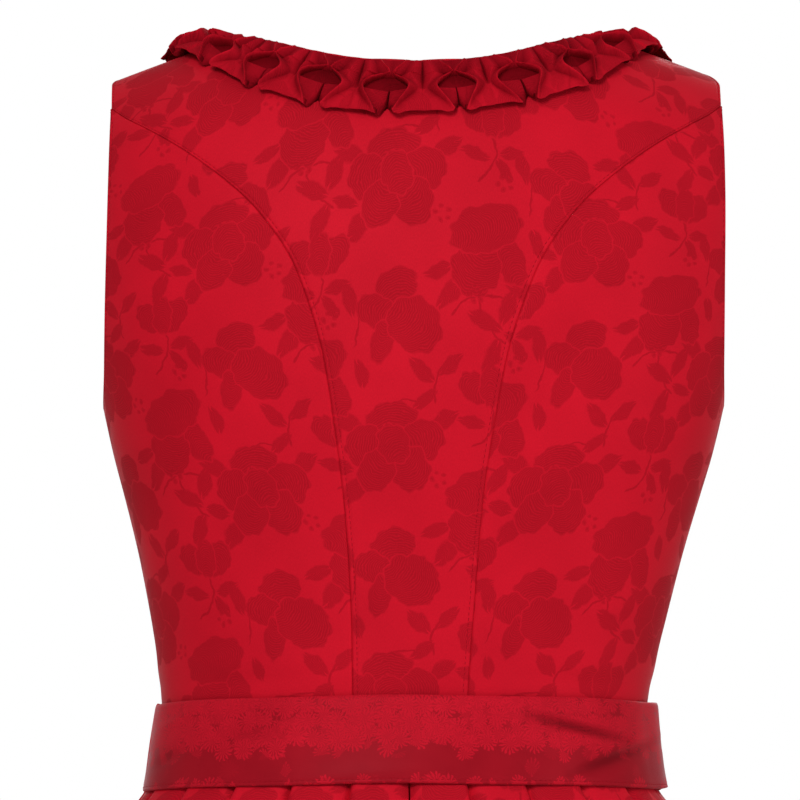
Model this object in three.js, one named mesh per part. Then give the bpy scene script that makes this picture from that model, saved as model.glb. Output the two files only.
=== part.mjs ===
// A sleeveless dirndl with its apron, hollow, in the shape that it has when it is worn.
// Millimetres. +Z is up, the front faces -Y and the wearer's left is +X.
// The origin lies midway between the shoulders, level with the shoulder ridge beside the neck.
import * as THREE from "three";

// Driving sizes of the cloth.
const BODICE_CLOTH = 1.5;
const SKIRT_CLOTH = 2;
const APRON_CLOTH = 1.3;
const SEAM_GAP = 0.4;

// Driving sizes of the bodice.
const NECK_HALF_WIDTH = 112;
const NECK_WIDEST = -60; // distance over the cloth from the ridge to the neck's widest place, in front
const NECK_BACK_REACH = 143; // over the cloth, from the widest place to the centre back
const NECK_FRONT_REACH = 169; // over the cloth, from the widest place to the centre front
const NECK_BACK_SQUARENESS = 2.2;
const NECK_FRONT_SQUARENESS = 2.5;
const RIDGE_HALF_WIDTH = 92; // from here the ridge slopes down to the shoulder's end
const SHOULDER_END = 166;
const SHOULDER_SLOPE = 0.37;
const SHOULDER_TURN = 60; // radius of the cloth's turn over the shoulder
const NAPE_RISE = 30;
const RIDGE_FADE = 260; // how far down the cloth the ridge's shape is felt
const UNDERARM_Z = -208;
const WAIST_Z = -398;
const LAP = 9; // how far the right front laps over the centre
const UNDERLAP = 8;
const LAP_LIFT = 3;
const UNDER_SINK = 1.6;
const BUST = { x: 80, z: -258, out: 15, wide: 46, high: 48 };

// Driving sizes of the trim, the skirt and the apron.
const RUCHE_UNITS_A_SIDE = 13;
const RUCHE_LIFT = 0.9;
const BUTTONS = { count: 6, radius: 5.5, thick: 3.2, top: -237, pitch: 22 };
const PLEATS = 24;
const BAND_TOP_Z = -369.5;
const BAND_BOTTOM_Z = -416.5;
const APRON_HEM_Z = -1035;
const APRON_SIDE = 0.275; // share of the way round, from the centre back, where the apron starts
const APRON_FOLDS = 15;
const BAND_END = 0.245;
const BOW = { share: 0.545, z: -393, loop: 82, tail: 330, half: 24 };

// The form by height: half width, depth to the back and to the front, and how square the section is.
const FORM = [
  { z: 60, width: 182, back: 50, front: 34, square: 2.5 },
  { z: 0, width: 182, back: 66, front: 46, square: 2.5 },
  { z: -29, width: 182, back: 76, front: 58, square: 2.5 },
  { z: -70, width: 182, back: 92, front: 76, square: 2.5 },
  { z: -120, width: 181, back: 103, front: 93, square: 2.45 },
  { z: -170, width: 177, back: 106, front: 108, square: 2.4 },
  { z: -208, width: 169.2, back: 105, front: 117, square: 2.35 },
  { z: -234, width: 163.4, back: 103, front: 121, square: 2.35 },
  { z: -255, width: 157.6, back: 101, front: 122, square: 2.3 },
  { z: -294, width: 146.8, back: 96, front: 114, square: 2.3 },
  { z: -335, width: 137.7, back: 91.5, front: 103, square: 2.25 },
  { z: -366, width: 133.2, back: 89, front: 99, square: 2.2 },
  { z: WAIST_Z, width: 131, back: 87, front: 98, square: 2.2 },
  { z: -425, width: 131.5, back: 88, front: 99, square: 2.2 },
];

// The skirt's outer envelope, with the depth of its folds and how far its pleats have opened into waves.
const SKIRT = [
  { z: WAIST_Z, width: 134.4, back: 90.7, front: 101.7, square: 2.2, fold: 3.6, open: 0 },
  { z: BAND_BOTTOM_Z, width: 140.8, back: 96.5, front: 107.5, square: 2.2, fold: 4, open: 0 },
  { z: -445, width: 152, back: 106, front: 116, square: 2.18, fold: 6, open: 0.05 },
  { z: -515, width: 180, back: 133, front: 140, square: 2.15, fold: 13, open: 0.3 },
  { z: -625, width: 215, back: 167, front: 172, square: 2.1, fold: 22, open: 0.7 },
  { z: -760, width: 252, back: 200, front: 203, square: 2.05, fold: 30, open: 1 },
  { z: -920, width: 290, back: 230, front: 232, square: 2, fold: 36, open: 1 },
  { z: -1090, width: 326, back: 257, front: 258, square: 2, fold: 40, open: 1 },
];

// The outer envelope that the band, the apron and the bow lie on: a straight cone, then the skirt.
const OUTER = [
  { z: -345, width: 131.8, back: 88.8, front: 103.4, square: 2.2 },
  { z: BAND_TOP_Z, width: 134, back: 90.9, front: 104.9, square: 2.2 },
  { z: BAND_BOTTOM_Z, width: 141.2, back: 97.2, front: 110.4, square: 2.2 },
  ...SKIRT.slice(2),
];

// Seams and edges of the back and the front, as half widths by height.
const BACK_SEAM = [
  { z: -46, x: 164.3 }, { z: -53, x: 157 }, { z: -61, x: 145 }, { z: -71, x: 130 },
  { z: -81, x: 116.3 }, { z: -94, x: 100.6 }, { z: -106, x: 88.2 }, { z: -122, x: 75.6 },
  { z: -137, x: 66.4 }, { z: -155, x: 59 }, { z: -180, x: 51 }, { z: -206, x: 45.7 },
  { z: -260, x: 37.7 }, { z: -312, x: 33.3 }, { z: -362, x: 31 }, { z: WAIST_Z, x: 30.5 },
];
const BACK_ARMHOLE = [
  { z: -27, x: 166 }, { z: -46, x: 165.2 }, { z: -60, x: 165.4 }, { z: -100, x: 166.4 },
  { z: -150, x: 167 }, { z: -190, x: 167.8 }, { z: -208, x: 169 },
];
const FRONT_SEAM = [
  { z: -124, x: 152.4 }, { z: -140, x: 140 }, { z: -160, x: 127 }, { z: -185, x: 112 },
  { z: -210, x: 101 }, { z: -235, x: 93 }, { z: -262, x: 86 }, { z: -300, x: 76 },
  { z: -345, x: 67 }, { z: WAIST_Z, x: 58 },
];
const FRONT_ARMHOLE = [
  { z: -27, x: 166 }, { z: -55, x: 160 }, { z: -90, x: 154 }, { z: -124, x: 152.4 },
  { z: -140, x: 153 }, { z: -170, x: 157 }, { z: -196, x: 164 }, { z: -208, x: 169 },
];

// A smooth value of one column of a table at height z; the rows run downwards.
function smooth(table, z, column) {
  const last = table.length - 1;
  let i = table.findIndex((row) => row.z < z) - 1;
  if (i < 0) i = z >= table[0].z ? 0 : last - 1;
  const [a, b] = [table[i], table[i + 1]];
  const slope = (k) => {
    const [p, q] = [table[Math.max(k - 1, 0)], table[Math.min(k + 1, last)]];
    return (q[column] - p[column]) / (q.z - p.z);
  };
  const run = b.z - a.z;
  const t = Math.min(Math.max((z - a.z) / run, 0), 1);
  const t2 = t * t;
  const t3 = t2 * t;
  return (
    (2 * t3 - 3 * t2 + 1) * a[column] +
    (t3 - 2 * t2 + t) * run * slope(i) +
    (3 * t2 - 2 * t3) * b[column] +
    (t3 - t2) * run * slope(i + 1)
  );
}

const signedPower = (value, power) => Math.sign(value) * Math.abs(value) ** power;
const mix = (a, b, t) => a + (b - a) * t;
const ease = (t) => {
  const s = Math.min(Math.max(t, 0), 1);
  return s * s * (3 - 2 * s);
};
const steps = (count) => Array.from({ length: count + 1 }, (_, i) => i / count);

// Height of the line along which the back turns over into the front.
function ridge(x) {
  const out = Math.abs(x) / RIDGE_HALF_WIDTH;
  return out > 1 ? -SHOULDER_SLOPE * RIDGE_HALF_WIDTH * (out - 1) : NAPE_RISE * (1 - out * out);
}

// The drop below the ridge for a distance over the cloth from it.
const QUARTER = (Math.PI / 2) * SHOULDER_TURN;
const dropOf = (v) =>
  Math.abs(v) < QUARTER
    ? SHOULDER_TURN * (1 - Math.cos(v / SHOULDER_TURN))
    : SHOULDER_TURN + Math.abs(v) - QUARTER;

const height = (x, v) => ridge(x) * (1 - ease(Math.abs(v) / RIDGE_FADE)) - dropOf(v);

// A place on the form: phi turns from the centre (0) to the side, v runs over the shoulder, back positive.
function onForm(phi, v) {
  const side = v < 0 ? "front" : "back";
  let x = 0;
  let z = height(0, v);
  for (let round = 0; round < 8; round++) {
    x = smooth(FORM, z, "width") * signedPower(Math.sin(phi), 2 / smooth(FORM, z, "square"));
    z = height(x, v);
  }
  const across = signedPower(Math.cos(phi), 2 / smooth(FORM, z, "square"));
  const turned = Math.sin(Math.min(Math.abs(v), QUARTER) / SHOULDER_TURN);
  let y = smooth(FORM, z, side) * across * turned;
  if (side === "front") {
    const [dx, dz] = [(Math.hypot(x, 30) - BUST.x) / BUST.wide, (z - BUST.z) / BUST.high];
    y = -y - BUST.out * Math.exp(-dx * dx - dz * dz) * Math.min(across * 3, 1);
  }
  return new THREE.Vector3(x, y, z);
}

// The same place with its outward normal, moved out by lift.
function formPoint(phi, v, lift = 0) {
  const d = 0.004;
  const along = onForm(phi + d, v).sub(onForm(phi - d, v));
  const down = onForm(phi, v + 0.5).sub(onForm(phi, v - 0.5));
  const normal = along.cross(down).normalize();
  return { p: onForm(phi, v).addScaledVector(normal, lift), n: normal };
}

// Form coordinates of a point given by its half width and height.
function place(x, z, side) {
  const share = Math.min(Math.abs(x) / smooth(FORM, z, "width"), 1);
  const phi = Math.asin(share ** (smooth(FORM, z, "square") / 2)) * Math.sign(x);
  let [near, far] = [0, -2 * WAIST_Z];
  for (let round = 0; round < 40; round++) {
    const middle = (near + far) / 2;
    if (height(x, middle) > z) near = middle;
    else far = middle;
  }
  return { phi, v: side === "front" ? -near : near };
}

// The neck edge, in the plane of half width and distance over the cloth: turn is 0 at the centre back.
function neckEdge(turn) {
  const front = Math.cos(turn) < 0;
  const power = 2 / (front ? NECK_FRONT_SQUARENESS : NECK_BACK_SQUARENESS);
  const reach = front ? NECK_FRONT_REACH : NECK_BACK_REACH;
  return new THREE.Vector2(
    NECK_HALF_WIDTH * signedPower(Math.sin(turn), power),
    NECK_WIDEST + reach * signedPower(Math.cos(turn), power),
  );
}
const RIDGE_TURN = Math.acos((-NECK_WIDEST / NECK_BACK_REACH) ** (NECK_BACK_SQUARENESS / 2));
const flat = (point) => {
  const z = height(point.x, point.y);
  return { ...place(point.x, z, point.y < 0 ? "front" : "back"), v: point.y };
};

// Cloth gathers points and four-sided faces, welds what meets, and closes into a wall.
class Cloth {
  constructor() {
    this.points = [];
    this.faces = [];
    this.known = new Map();
  }

  point({ p, n }) {
    const key = [p.x, p.y, p.z].map((c) => Math.round(c * 100)).join();
    if (!this.known.has(key)) {
      this.known.set(key, this.points.length);
      this.points.push({ p, n });
    }
    return this.known.get(key);
  }

  // The outward side is that of a row's direction crossed with the way from row to row.
  grid(rows) {
    const index = rows.map((row) => row.map((point) => this.point(point)));
    for (let j = 0; j + 1 < rows.length; j++)
      for (let i = 0; i + 1 < rows[j].length; i++) {
        const [a, b] = [index[j][i], index[j][i + 1]];
        const [c, d] = [index[j + 1][i + 1], index[j + 1][i]];
        for (const face of [[a, c, d], [a, b, c]])
          if (new Set(face).size === 3) this.faces.push(face);
      }
    return this;
  }

  wall(thickness) {
    const count = this.points.length;
    const inner = this.points.map(({ p, n }) => p.clone().addScaledVector(n, -thickness));
    const edges = new Map();
    const triangles = [];
    for (const face of this.faces) {
      triangles.push(face, [face[0] + count, face[2] + count, face[1] + count]);
      face.forEach((a, k) => edges.set(`${a},${face[(k + 1) % 3]}`, [a, face[(k + 1) % 3]]));
    }
    for (const [a, b] of edges.values())
      if (!edges.has(`${b},${a}`)) triangles.push([b, a, a + count], [b, a + count, b + count]);
    const position = [...this.points.map(({ p }) => p), ...inner].flatMap((p) => p.toArray());
    return new THREE.BufferGeometry()
      .setAttribute("position", new THREE.Float32BufferAttribute(position, 3))
      .setIndex(triangles.flat());
  }
}

// A mirror image in the plane x = 0, with its faces still pointing out.
function mirrored(geometry) {
  const copy = geometry.clone().scale(-1, 1, 1);
  const index = copy.index.array;
  for (let i = 0; i < index.length; i += 3) [index[i + 1], index[i + 2]] = [index[i + 2], index[i + 1]];
  return copy;
}

const cloth = (color, roughness = 0.75) => new THREE.MeshStandardMaterial({ color, roughness, metalness: 0 });
const BODICE_RED = cloth(0xb81220);
const APRON_RED = cloth(0xa01424, 0.55);
const BUTTON_RED = cloth(0xa51020, 0.5);
const dirndl = new THREE.Group();
function add(name, geometry, material) {
  const mesh = new THREE.Mesh(geometry, material);
  mesh.name = name;
  dirndl.add(mesh);
}

// Bodice panels. Each row of a panel runs straight, in form coordinates, from one edge to the other.
function ruled(left, right, columns, lift = () => 0) {
  return left.map((a, j) =>
    steps(columns).map((t) => {
      const [phi, v] = [mix(a.phi, right[j].phi, t), mix(a.v, right[j].v, t)];
      return formPoint(phi, v, lift(onForm(phi, v).x));
    }),
  );
}
const seamX = (table, z, shift) => smooth(table, z, "x") + shift;
const sideSeam = (z, side, shift) => {
  const edge = place(smooth(FORM, z, "width"), z, side);
  return { ...edge, phi: Math.PI / 2 - shift / 150 };
};
const HALF_GAP = SEAM_GAP / 2;
const BACK_ROWS = BACK_SEAM.map((row) => row.z);
const FRONT_ROWS = [-124, -140, -160, -184, -208, -230, -248, -264, -280, -300, -322, -345, -370, WAIST_Z];

function backCentre() {
  const shoulder = -27;
  const seam = BACK_ROWS.map((z) => place(seamX(BACK_SEAM, z, -HALF_GAP), z, "back"));
  const tip = { ...place(SHOULDER_END, shoulder, "back"), v: HALF_GAP };
  const neckTop = NECK_WIDEST + NECK_BACK_REACH;
  const centre = BACK_ROWS.map((z, j) => ({
    phi: 0,
    v: mix(neckTop, place(0, WAIST_Z, "back").v, (j / (BACK_ROWS.length - 1)) ** 1.25),
  }));
  const fan = [1, 0.8, 0.6, 0.4, 0.2];
  const neck = fan.map((t) => {
    const edge = flat(neckEdge(t * RIDGE_TURN));
    return { ...edge, v: Math.max(edge.v, HALF_GAP) };
  });
  const edge = fan.map((t) => ({ phi: mix(seam[0].phi, tip.phi, t), v: mix(seam[0].v, tip.v, t) }));
  const half = ruled([...neck, ...centre], [...edge, ...seam], 4);
  const flip = ({ p, n }) => ({
    p: new THREE.Vector3(-p.x, p.y, p.z),
    n: new THREE.Vector3(-n.x, n.y, n.z),
  });
  const otherHalf = half.map((row) => row.map(flip).reverse());
  return new Cloth().grid(half).grid(otherHalf).wall(BODICE_CLOTH);
}

function backSide() {
  const seam = BACK_ROWS.map((z) => place(seamX(BACK_SEAM, z, HALF_GAP), z, "back"));
  const side = BACK_ROWS.map((z) =>
    z > UNDERARM_Z ? place(seamX(BACK_ARMHOLE, z, 0), z, "back") : sideSeam(z, "back", HALF_GAP),
  );
  return new Cloth().grid(ruled(seam, side, 5)).wall(BODICE_CLOTH);
}

function frontSide() {
  const seam = FRONT_ROWS.map((z) => place(seamX(FRONT_SEAM, z, HALF_GAP), z, "front"));
  const side = FRONT_ROWS.map((z, j) => {
    if (j === 0) return place(seamX(FRONT_ARMHOLE, z, HALF_GAP + 0.6), z, "front");
    return z > UNDERARM_Z
      ? place(seamX(FRONT_ARMHOLE, z, 0), z, "front")
      : sideSeam(z, "front", HALF_GAP);
  });
  return new Cloth().grid(ruled(side, seam, 4)).wall(BODICE_CLOTH);
}

// One front, as for the wearer's left: its centre edge passes the middle by past, raised by lift.
function frontCentre(past, lift) {
  const armhole = [-27, -42, -58, -76, -98, -112];
  const outer = [
    ...armhole.map((z) => place(seamX(FRONT_ARMHOLE, z, 0), z, "front")),
    ...FRONT_ROWS.map((z) => place(seamX(FRONT_SEAM, z, -HALF_GAP), z, "front")),
  ];
  outer[0].v = -HALF_GAP;
  const neckRows = 9;
  const lowest = Math.PI + Math.asin((past / NECK_HALF_WIDTH) ** (NECK_FRONT_SQUARENESS / 2));
  const neck = steps(neckRows).map((t) => {
    const edge = flat(neckEdge(mix(RIDGE_TURN + 0.004, lowest, t)));
    return { ...edge, v: Math.min(edge.v, -HALF_GAP) };
  });
  const centreRows = outer.length - neck.length;
  const bottom = place(-past, WAIST_Z, "front").v;
  const centre = steps(centreRows).slice(1).map((t) => {
    const v = mix(neck[neckRows].v, bottom, t);
    return { phi: place(-past, height(0, v), "front").phi, v };
  });
  const rows = ruled([...neck, ...centre], outer, 6, lift);
  return new Cloth().grid(rows.reverse()).wall(BODICE_CLOTH);
}
const lapLift = (x) => LAP_LIFT * (1 - ease((x - 10) / 9));
const underLift = (x) => -UNDER_SINK * (1 - ease((x - 2) / 10));

add("back_centre", backCentre(), BODICE_RED);
add("back_side_left", backSide(), BODICE_RED);
add("back_side_right", mirrored(backSide()), BODICE_RED);
add("front_side_left", frontSide(), BODICE_RED);
add("front_side_right", mirrored(frontSide()), BODICE_RED);
add("front_centre_left", frontCentre(UNDERLAP, underLift), BODICE_RED);
add("front_centre_right", mirrored(frontCentre(LAP, lapLift)), BODICE_RED);

// The ruche, a strip of tacked box pleats: sections across it at each valley and each tack.
const VALLEY = [
  { down: 2, out: 0 }, { down: 10, out: 0 }, { down: 18, out: 0 }, { down: 27.5, out: 0 },
  { down: 27.5, out: 3.2 }, { down: 17, out: 1.6 }, { down: 9, out: 1.6 }, { down: 2, out: 2.4 },
];
const TACK = [
  { down: 2, out: 0 }, { down: 10, out: 0 }, { down: 18, out: 0 }, { down: 27, out: 0 },
  { down: 27, out: 2.4 }, { down: 18, out: 6.5 }, { down: 10, out: 6 }, { down: 2, out: 2 },
];

function ruche() {
  const fine = 720;
  const start = Math.PI - 0.02;
  const turns = steps(fine).map((t) => mix(-start, start, t));
  const line = turns.map(neckEdge);
  const along = [0];
  for (let i = 1; i <= fine; i++) along.push(along[i - 1] + line[i].distanceTo(line[i - 1]));
  const lapEnd = 11;
  const first = along[line.findIndex((q) => q.x < -lapEnd)];
  const length = along[fine] - 2 * first;
  const count = RUCHE_UNITS_A_SIDE * 4;
  const positions = [];
  const triangles = [];
  for (let k = 0; k <= count; k++) {
    const wanted = first + (length * k) / count;
    const i = Math.min(along.findIndex((s) => s >= wanted), fine - 1);
    const here = line[i];
    const ahead = line[i + 1].clone().sub(line[i - 1]).normalize();
    const away = new THREE.Vector2(-ahead.y, ahead.x);
    const section = k % 2 ? TACK : VALLEY;
    for (const { down, out } of section) {
      const spot = flat(here.clone().addScaledVector(away, down));
      const lap = here.x < 0 && here.y < 0 ? lapLift(-here.x) : 0;
      positions.push(...formPoint(spot.phi, spot.v, RUCHE_LIFT + lap + out).p.toArray());
    }
    const size = section.length;
    if (k > 0)
      for (let j = 0; j < size; j++) {
        const [a, b] = [(k - 1) * size + j, (k - 1) * size + ((j + 1) % size)];
        triangles.push(a, b, b + size, a, b + size, a + size);
      }
  }
  const size = VALLEY.length;
  const end = count * size;
  for (let j = 0; j < size / 2 - 1; j++) {
    const [a, b, c, d] = [j, j + 1, size - 2 - j, size - 1 - j];
    triangles.push(a, c, b, a, d, c);
    triangles.push(end + a, end + b, end + c, end + a, end + c, end + d);
  }
  return new THREE.BufferGeometry()
    .setAttribute("position", new THREE.Float32BufferAttribute(positions, 3))
    .setIndex(triangles);
}
add("neck_ruche", ruche(), BODICE_RED);

// Covered buttons down the centre front, seated on the right front's lap.
function button(z) {
  const { radius, thick } = BUTTONS;
  const profile = [
    new THREE.Vector2(0, 0),
    new THREE.Vector2(radius * 0.9, 0),
    new THREE.Vector2(radius, thick * 0.45),
    new THREE.Vector2(radius * 0.75, thick * 0.9),
    new THREE.Vector2(0, thick),
  ];
  const seat = place(0.01, z, "front");
  const { p, n } = formPoint(seat.phi, seat.v, LAP_LIFT + 0.5);
  const turn = new THREE.Quaternion().setFromUnitVectors(new THREE.Vector3(0, 1, 0), n);
  return new THREE.LatheGeometry(profile, 10).applyQuaternion(turn).translate(p.x, p.y, p.z);
}
for (let k = 0; k < BUTTONS.count; k++)
  add(`button_${k + 1}`, button(BUTTONS.top - k * BUTTONS.pitch), BUTTON_RED);

// Rings round the waist and skirt: share runs from the centre back, through the wearer's left.
function ringPoint(table, phi, z) {
  const power = 2 / smooth(table, z, "square");
  const depth = smooth(table, z, Math.cos(phi) > 0 ? "back" : "front");
  return new THREE.Vector3(
    smooth(table, z, "width") * signedPower(Math.sin(phi), power),
    depth * signedPower(Math.cos(phi), power),
    z,
  );
}
const ringCache = new Map();
function ringAngle(table, share, z) {
  const key = `${table.length},${z}`;
  if (!ringCache.has(key)) {
    const angles = steps(720).map((t) => t * 2 * Math.PI);
    const along = [0];
    let last = ringPoint(table, 0, z);
    for (const phi of angles.slice(1)) {
      const next = ringPoint(table, phi, z);
      along.push(along[along.length - 1] + next.distanceTo(last));
      last = next;
    }
    ringCache.set(key, { angles, along });
  }
  const { angles, along } = ringCache.get(key);
  const wanted = (share - Math.floor(share)) * along[along.length - 1];
  const i = Math.max(along.findIndex((s) => s >= wanted), 1);
  return mix(angles[i - 1], angles[i], (wanted - along[i - 1]) / (along[i] - along[i - 1]));
}
const ringLength = (table, z) => {
  ringAngle(table, 0, z);
  return ringCache.get(`${table.length},${z}`).along.at(-1);
};
function ringSpot(table, share, z, lift) {
  const phi = ringAngle(table, share, z);
  const round = ringPoint(table, phi + 0.01, z).sub(ringPoint(table, phi - 0.01, z));
  const down = ringPoint(table, phi, z - 1).sub(ringPoint(table, phi, z + 1));
  const normal = round.cross(down).normalize();
  return { p: ringPoint(table, phi, z).addScaledVector(normal, lift), n: normal };
}

// The skirt: knife pleats that turn away from the centre back and open into waves towards the hem.
const PLEAT_COLUMNS = [0, 0.46, 0.93];
function skirtPanel(from, to) {
  const across = [];
  for (let k = from; k < to; k++) for (const w of PLEAT_COLUMNS) across.push(k + w);
  across[0] += 0.01;
  across.push(to - 0.01);
  const rows = SKIRT.map(({ z, fold, open }) =>
    across.map((at) => {
      const forward = at <= PLEATS / 2;
      const w = forward ? at - Math.floor(at) : Math.ceil(at) - at;
      const crest = mix(w, 0.5 - 0.5 * Math.cos(2 * Math.PI * w), open);
      const seamTop = z === WAIST_Z ? WAIST_Z - 0.3 : z;
      return ringSpot(SKIRT, at / PLEATS, seamTop, -fold * (1 - crest));
    }),
  );
  return new Cloth().grid(rows).wall(SKIRT_CLOTH);
}
add("skirt_back_left", skirtPanel(0, PLEATS / 4), BODICE_RED);
add("skirt_back_right", mirrored(skirtPanel(0, PLEATS / 4)), BODICE_RED);
add("skirt_front_left", skirtPanel(PLEATS / 4, PLEATS / 2), BODICE_RED);
add("skirt_front_right", mirrored(skirtPanel(PLEATS / 4, PLEATS / 2)), BODICE_RED);

// Straight strips of apron cloth round the waist, between two shares of the way round.
function strip(from, to, columns, lift) {
  const rows = [BAND_TOP_Z, BAND_BOTTOM_Z].map((z) =>
    steps(columns).map((t) => {
      const share = mix(from, to, t);
      return ringSpot(OUTER, share, z, lift(share) + APRON_CLOTH);
    }),
  );
  return new Cloth().grid(rows).wall(APRON_CLOTH);
}
const LAYER = 1.8; // from one layer of apron cloth to the next
const BAND_LIFT = 0.4;
const wrapEnd = BOW.share + 0.012;
const longTieLift = (share) =>
  mix(BAND_LIFT + 2 * LAYER, BAND_LIFT, ease((share - (1 - BAND_END)) / 0.05));
add("apron_band", strip(BAND_END, 1 - BAND_END, 28, () => BAND_LIFT), APRON_RED);
add("apron_tie_right", strip(wrapEnd, 1 - BAND_END - 0.004, 12, () => BAND_LIFT + LAYER), APRON_RED);
add("apron_tie_left", strip(wrapEnd, 1 + BAND_END - 0.0006, 46, longTieLift), APRON_RED);

// The apron's skirt, gathered under its band.
function apronSkirt() {
  const heights = [BAND_BOTTOM_Z - 0.4, -445, -515, -625, -760, -900, APRON_HEM_Z];
  const columns = APRON_FOLDS * 3;
  const rows = heights.map((z) => {
    const depth = mix(2.2, 13, ease((BAND_BOTTOM_Z - z) / 320));
    return steps(columns).map((t) => {
      const share = mix(APRON_SIDE, 1 - APRON_SIDE, t);
      const wave = 0.5 - 0.5 * Math.cos(2 * Math.PI * t * APRON_FOLDS);
      return ringSpot(OUTER, share, z, APRON_CLOTH + 1.2 + depth * wave);
    });
  });
  return new Cloth().grid(rows).wall(APRON_CLOTH);
}
add("apron_skirt", apronSkirt(), APRON_RED);

// The bow on the right front: a knot, two loops and two tails, laid over the apron's folds.
const KNOT = { half: 15, tall: 21, thick: 13 };
const knotLift = BAND_LIFT + 2 * LAYER + APRON_CLOTH + 0.4;
const foldClear = 19;

function onFront(along, z, lift) {
  const share = BOW.share + along / ringLength(OUTER, Math.round(z));
  return ringSpot(OUTER, share, z, lift);
}

// How far out a piece must lie to clear the band above and the apron's gathers below.
const clearOf = (z) => mix(knotLift, foldClear, ease((BAND_BOTTOM_Z + 6 - z) / 60));

function knot() {
  const rows = steps(6).map((a) =>
    steps(8).map((b) => {
      const [u, w] = [2 * b - 1, 1 - 2 * a];
      const round = Math.sqrt(Math.max(1 - 0.8 * u * u, 0)) * Math.sqrt(Math.max(1 - 0.6 * w * w, 0));
      return onFront(u * KNOT.half, BOW.z + w * KNOT.tall, knotLift + 3 + (KNOT.thick - 3) * round);
    }),
  );
  const body = new Cloth().grid(rows);
  body.points.forEach((point, i) => {
    const [row, column] = [Math.floor(i / 9), i % 9];
    const [along, z] = [(column / 4 - 1) * KNOT.half, BOW.z + (1 - row / 3) * KNOT.tall];
    const seat = onFront(along, z, knotLift).p;
    point.n = point.p.clone().sub(seat);
  });
  return body.wall(1);
}

// A loop's wall runs out along its front and comes back behind; way is +1 or -1 along the waist.
function loop(way) {
  const start = KNOT.half + 0.5;
  const rows = [1, 0.5, 0, -0.5, -1].map((w) =>
    steps(16).map((t) => {
      const angle = mix(0.12, 2 * Math.PI - 0.12, t);
      const reach = 0.5 - 0.5 * Math.cos(angle);
      const tall = mix(13, BOW.half + 3, ease(reach * 1.6));
      const along = start + BOW.loop * reach;
      const z = BOW.z + w * tall - 26 * reach ** 1.5;
      const bulge = 8 * Math.sin(angle) * Math.min(1, 0.35 + reach * 1.5);
      return onFront(way * along, z, clearOf(z) + 7.6 + 1.4 * reach + bulge);
    }),
  );
  for (const row of rows)
    row.forEach((point, i) => {
      const [before, after] = [row[Math.max(i - 1, 0)], row[Math.min(i + 1, row.length - 1)]];
      const ahead = after.p.clone().sub(before.p);
      point.n = ahead.cross(new THREE.Vector3(0, 0, 1)).normalize().multiplyScalar(way < 0 ? 1 : -1);
    });
  const wound = way > 0 ? rows : rows.map((row) => [...row].reverse());
  return new Cloth().grid(wound).wall(APRON_CLOTH);
}

// A tail hangs from under the knot with a slanting cut end.
function tail(way, length) {
  const rows = steps(10).map((t) =>
    steps(3).map((b) => {
      const w = 2 * b - 1;
      const half = mix(9, BOW.half, ease(t * 3));
      const cut = t === 1 ? w * way * 14 : 0;
      const z = BOW.z - KNOT.tall - 1 - length * t + cut;
      const along = way * (4 + 34 * t ** 0.7) + w * half + way * 7;
      return onFront(along, z, clearOf(z) + (way > 0 ? 1.2 : 3.6) + 2.4 * Math.cos(w * 1.5));
    }),
  );
  return new Cloth().grid(rows).wall(APRON_CLOTH);
}
add("bow_knot", knot(), APRON_RED);
add("bow_loop_left", loop(-1), APRON_RED);
add("bow_loop_right", loop(1), APRON_RED);
add("bow_tail_left", tail(-1, BOW.tail), APRON_RED);
add("bow_tail_right", tail(1, BOW.tail * 0.9), APRON_RED);

export default dirndl;
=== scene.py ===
import math

import bpy
import numpy as np
from mathutils import Matrix, Vector


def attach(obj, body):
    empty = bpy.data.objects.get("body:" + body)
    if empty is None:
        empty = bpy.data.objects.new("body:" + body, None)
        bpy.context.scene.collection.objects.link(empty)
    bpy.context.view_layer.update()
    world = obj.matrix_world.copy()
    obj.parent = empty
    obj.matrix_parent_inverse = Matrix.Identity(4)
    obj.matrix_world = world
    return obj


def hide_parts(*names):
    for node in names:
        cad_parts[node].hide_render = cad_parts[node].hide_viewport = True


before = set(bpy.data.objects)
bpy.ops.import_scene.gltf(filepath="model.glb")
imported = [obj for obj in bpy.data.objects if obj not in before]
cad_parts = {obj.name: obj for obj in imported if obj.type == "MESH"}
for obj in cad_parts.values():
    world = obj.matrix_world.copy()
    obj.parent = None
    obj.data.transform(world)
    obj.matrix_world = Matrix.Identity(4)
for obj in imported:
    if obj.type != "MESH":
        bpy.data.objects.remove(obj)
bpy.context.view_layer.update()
rng = np.random.default_rng(11)
MM = 0.001

# Tables of the form. Heights and sizes are in millimetres and rows run downwards.
# Columns: height, half width, depth to the back, depth to the front, squareness.
FORM = [
    (60, 182, 50, 34, 2.5), (0, 182, 66, 46, 2.5), (-29, 182, 76, 58, 2.5), (-70, 182, 92, 76, 2.5),
    (-120, 181, 103, 93, 2.45), (-170, 177, 106, 108, 2.4), (-208, 169.2, 105, 117, 2.35),
    (-234, 163.4, 103, 121, 2.35), (-255, 157.6, 101, 122, 2.3), (-294, 146.8, 96, 114, 2.3),
    (-335, 137.7, 91.5, 103, 2.25), (-366, 133.2, 89, 99, 2.2), (-398, 131, 87, 98, 2.2),
    (-425, 131.5, 88, 99, 2.2),
]
BAND_TOP, BAND_BOTTOM, WAIST = -369.5, -416.5, -398
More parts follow.
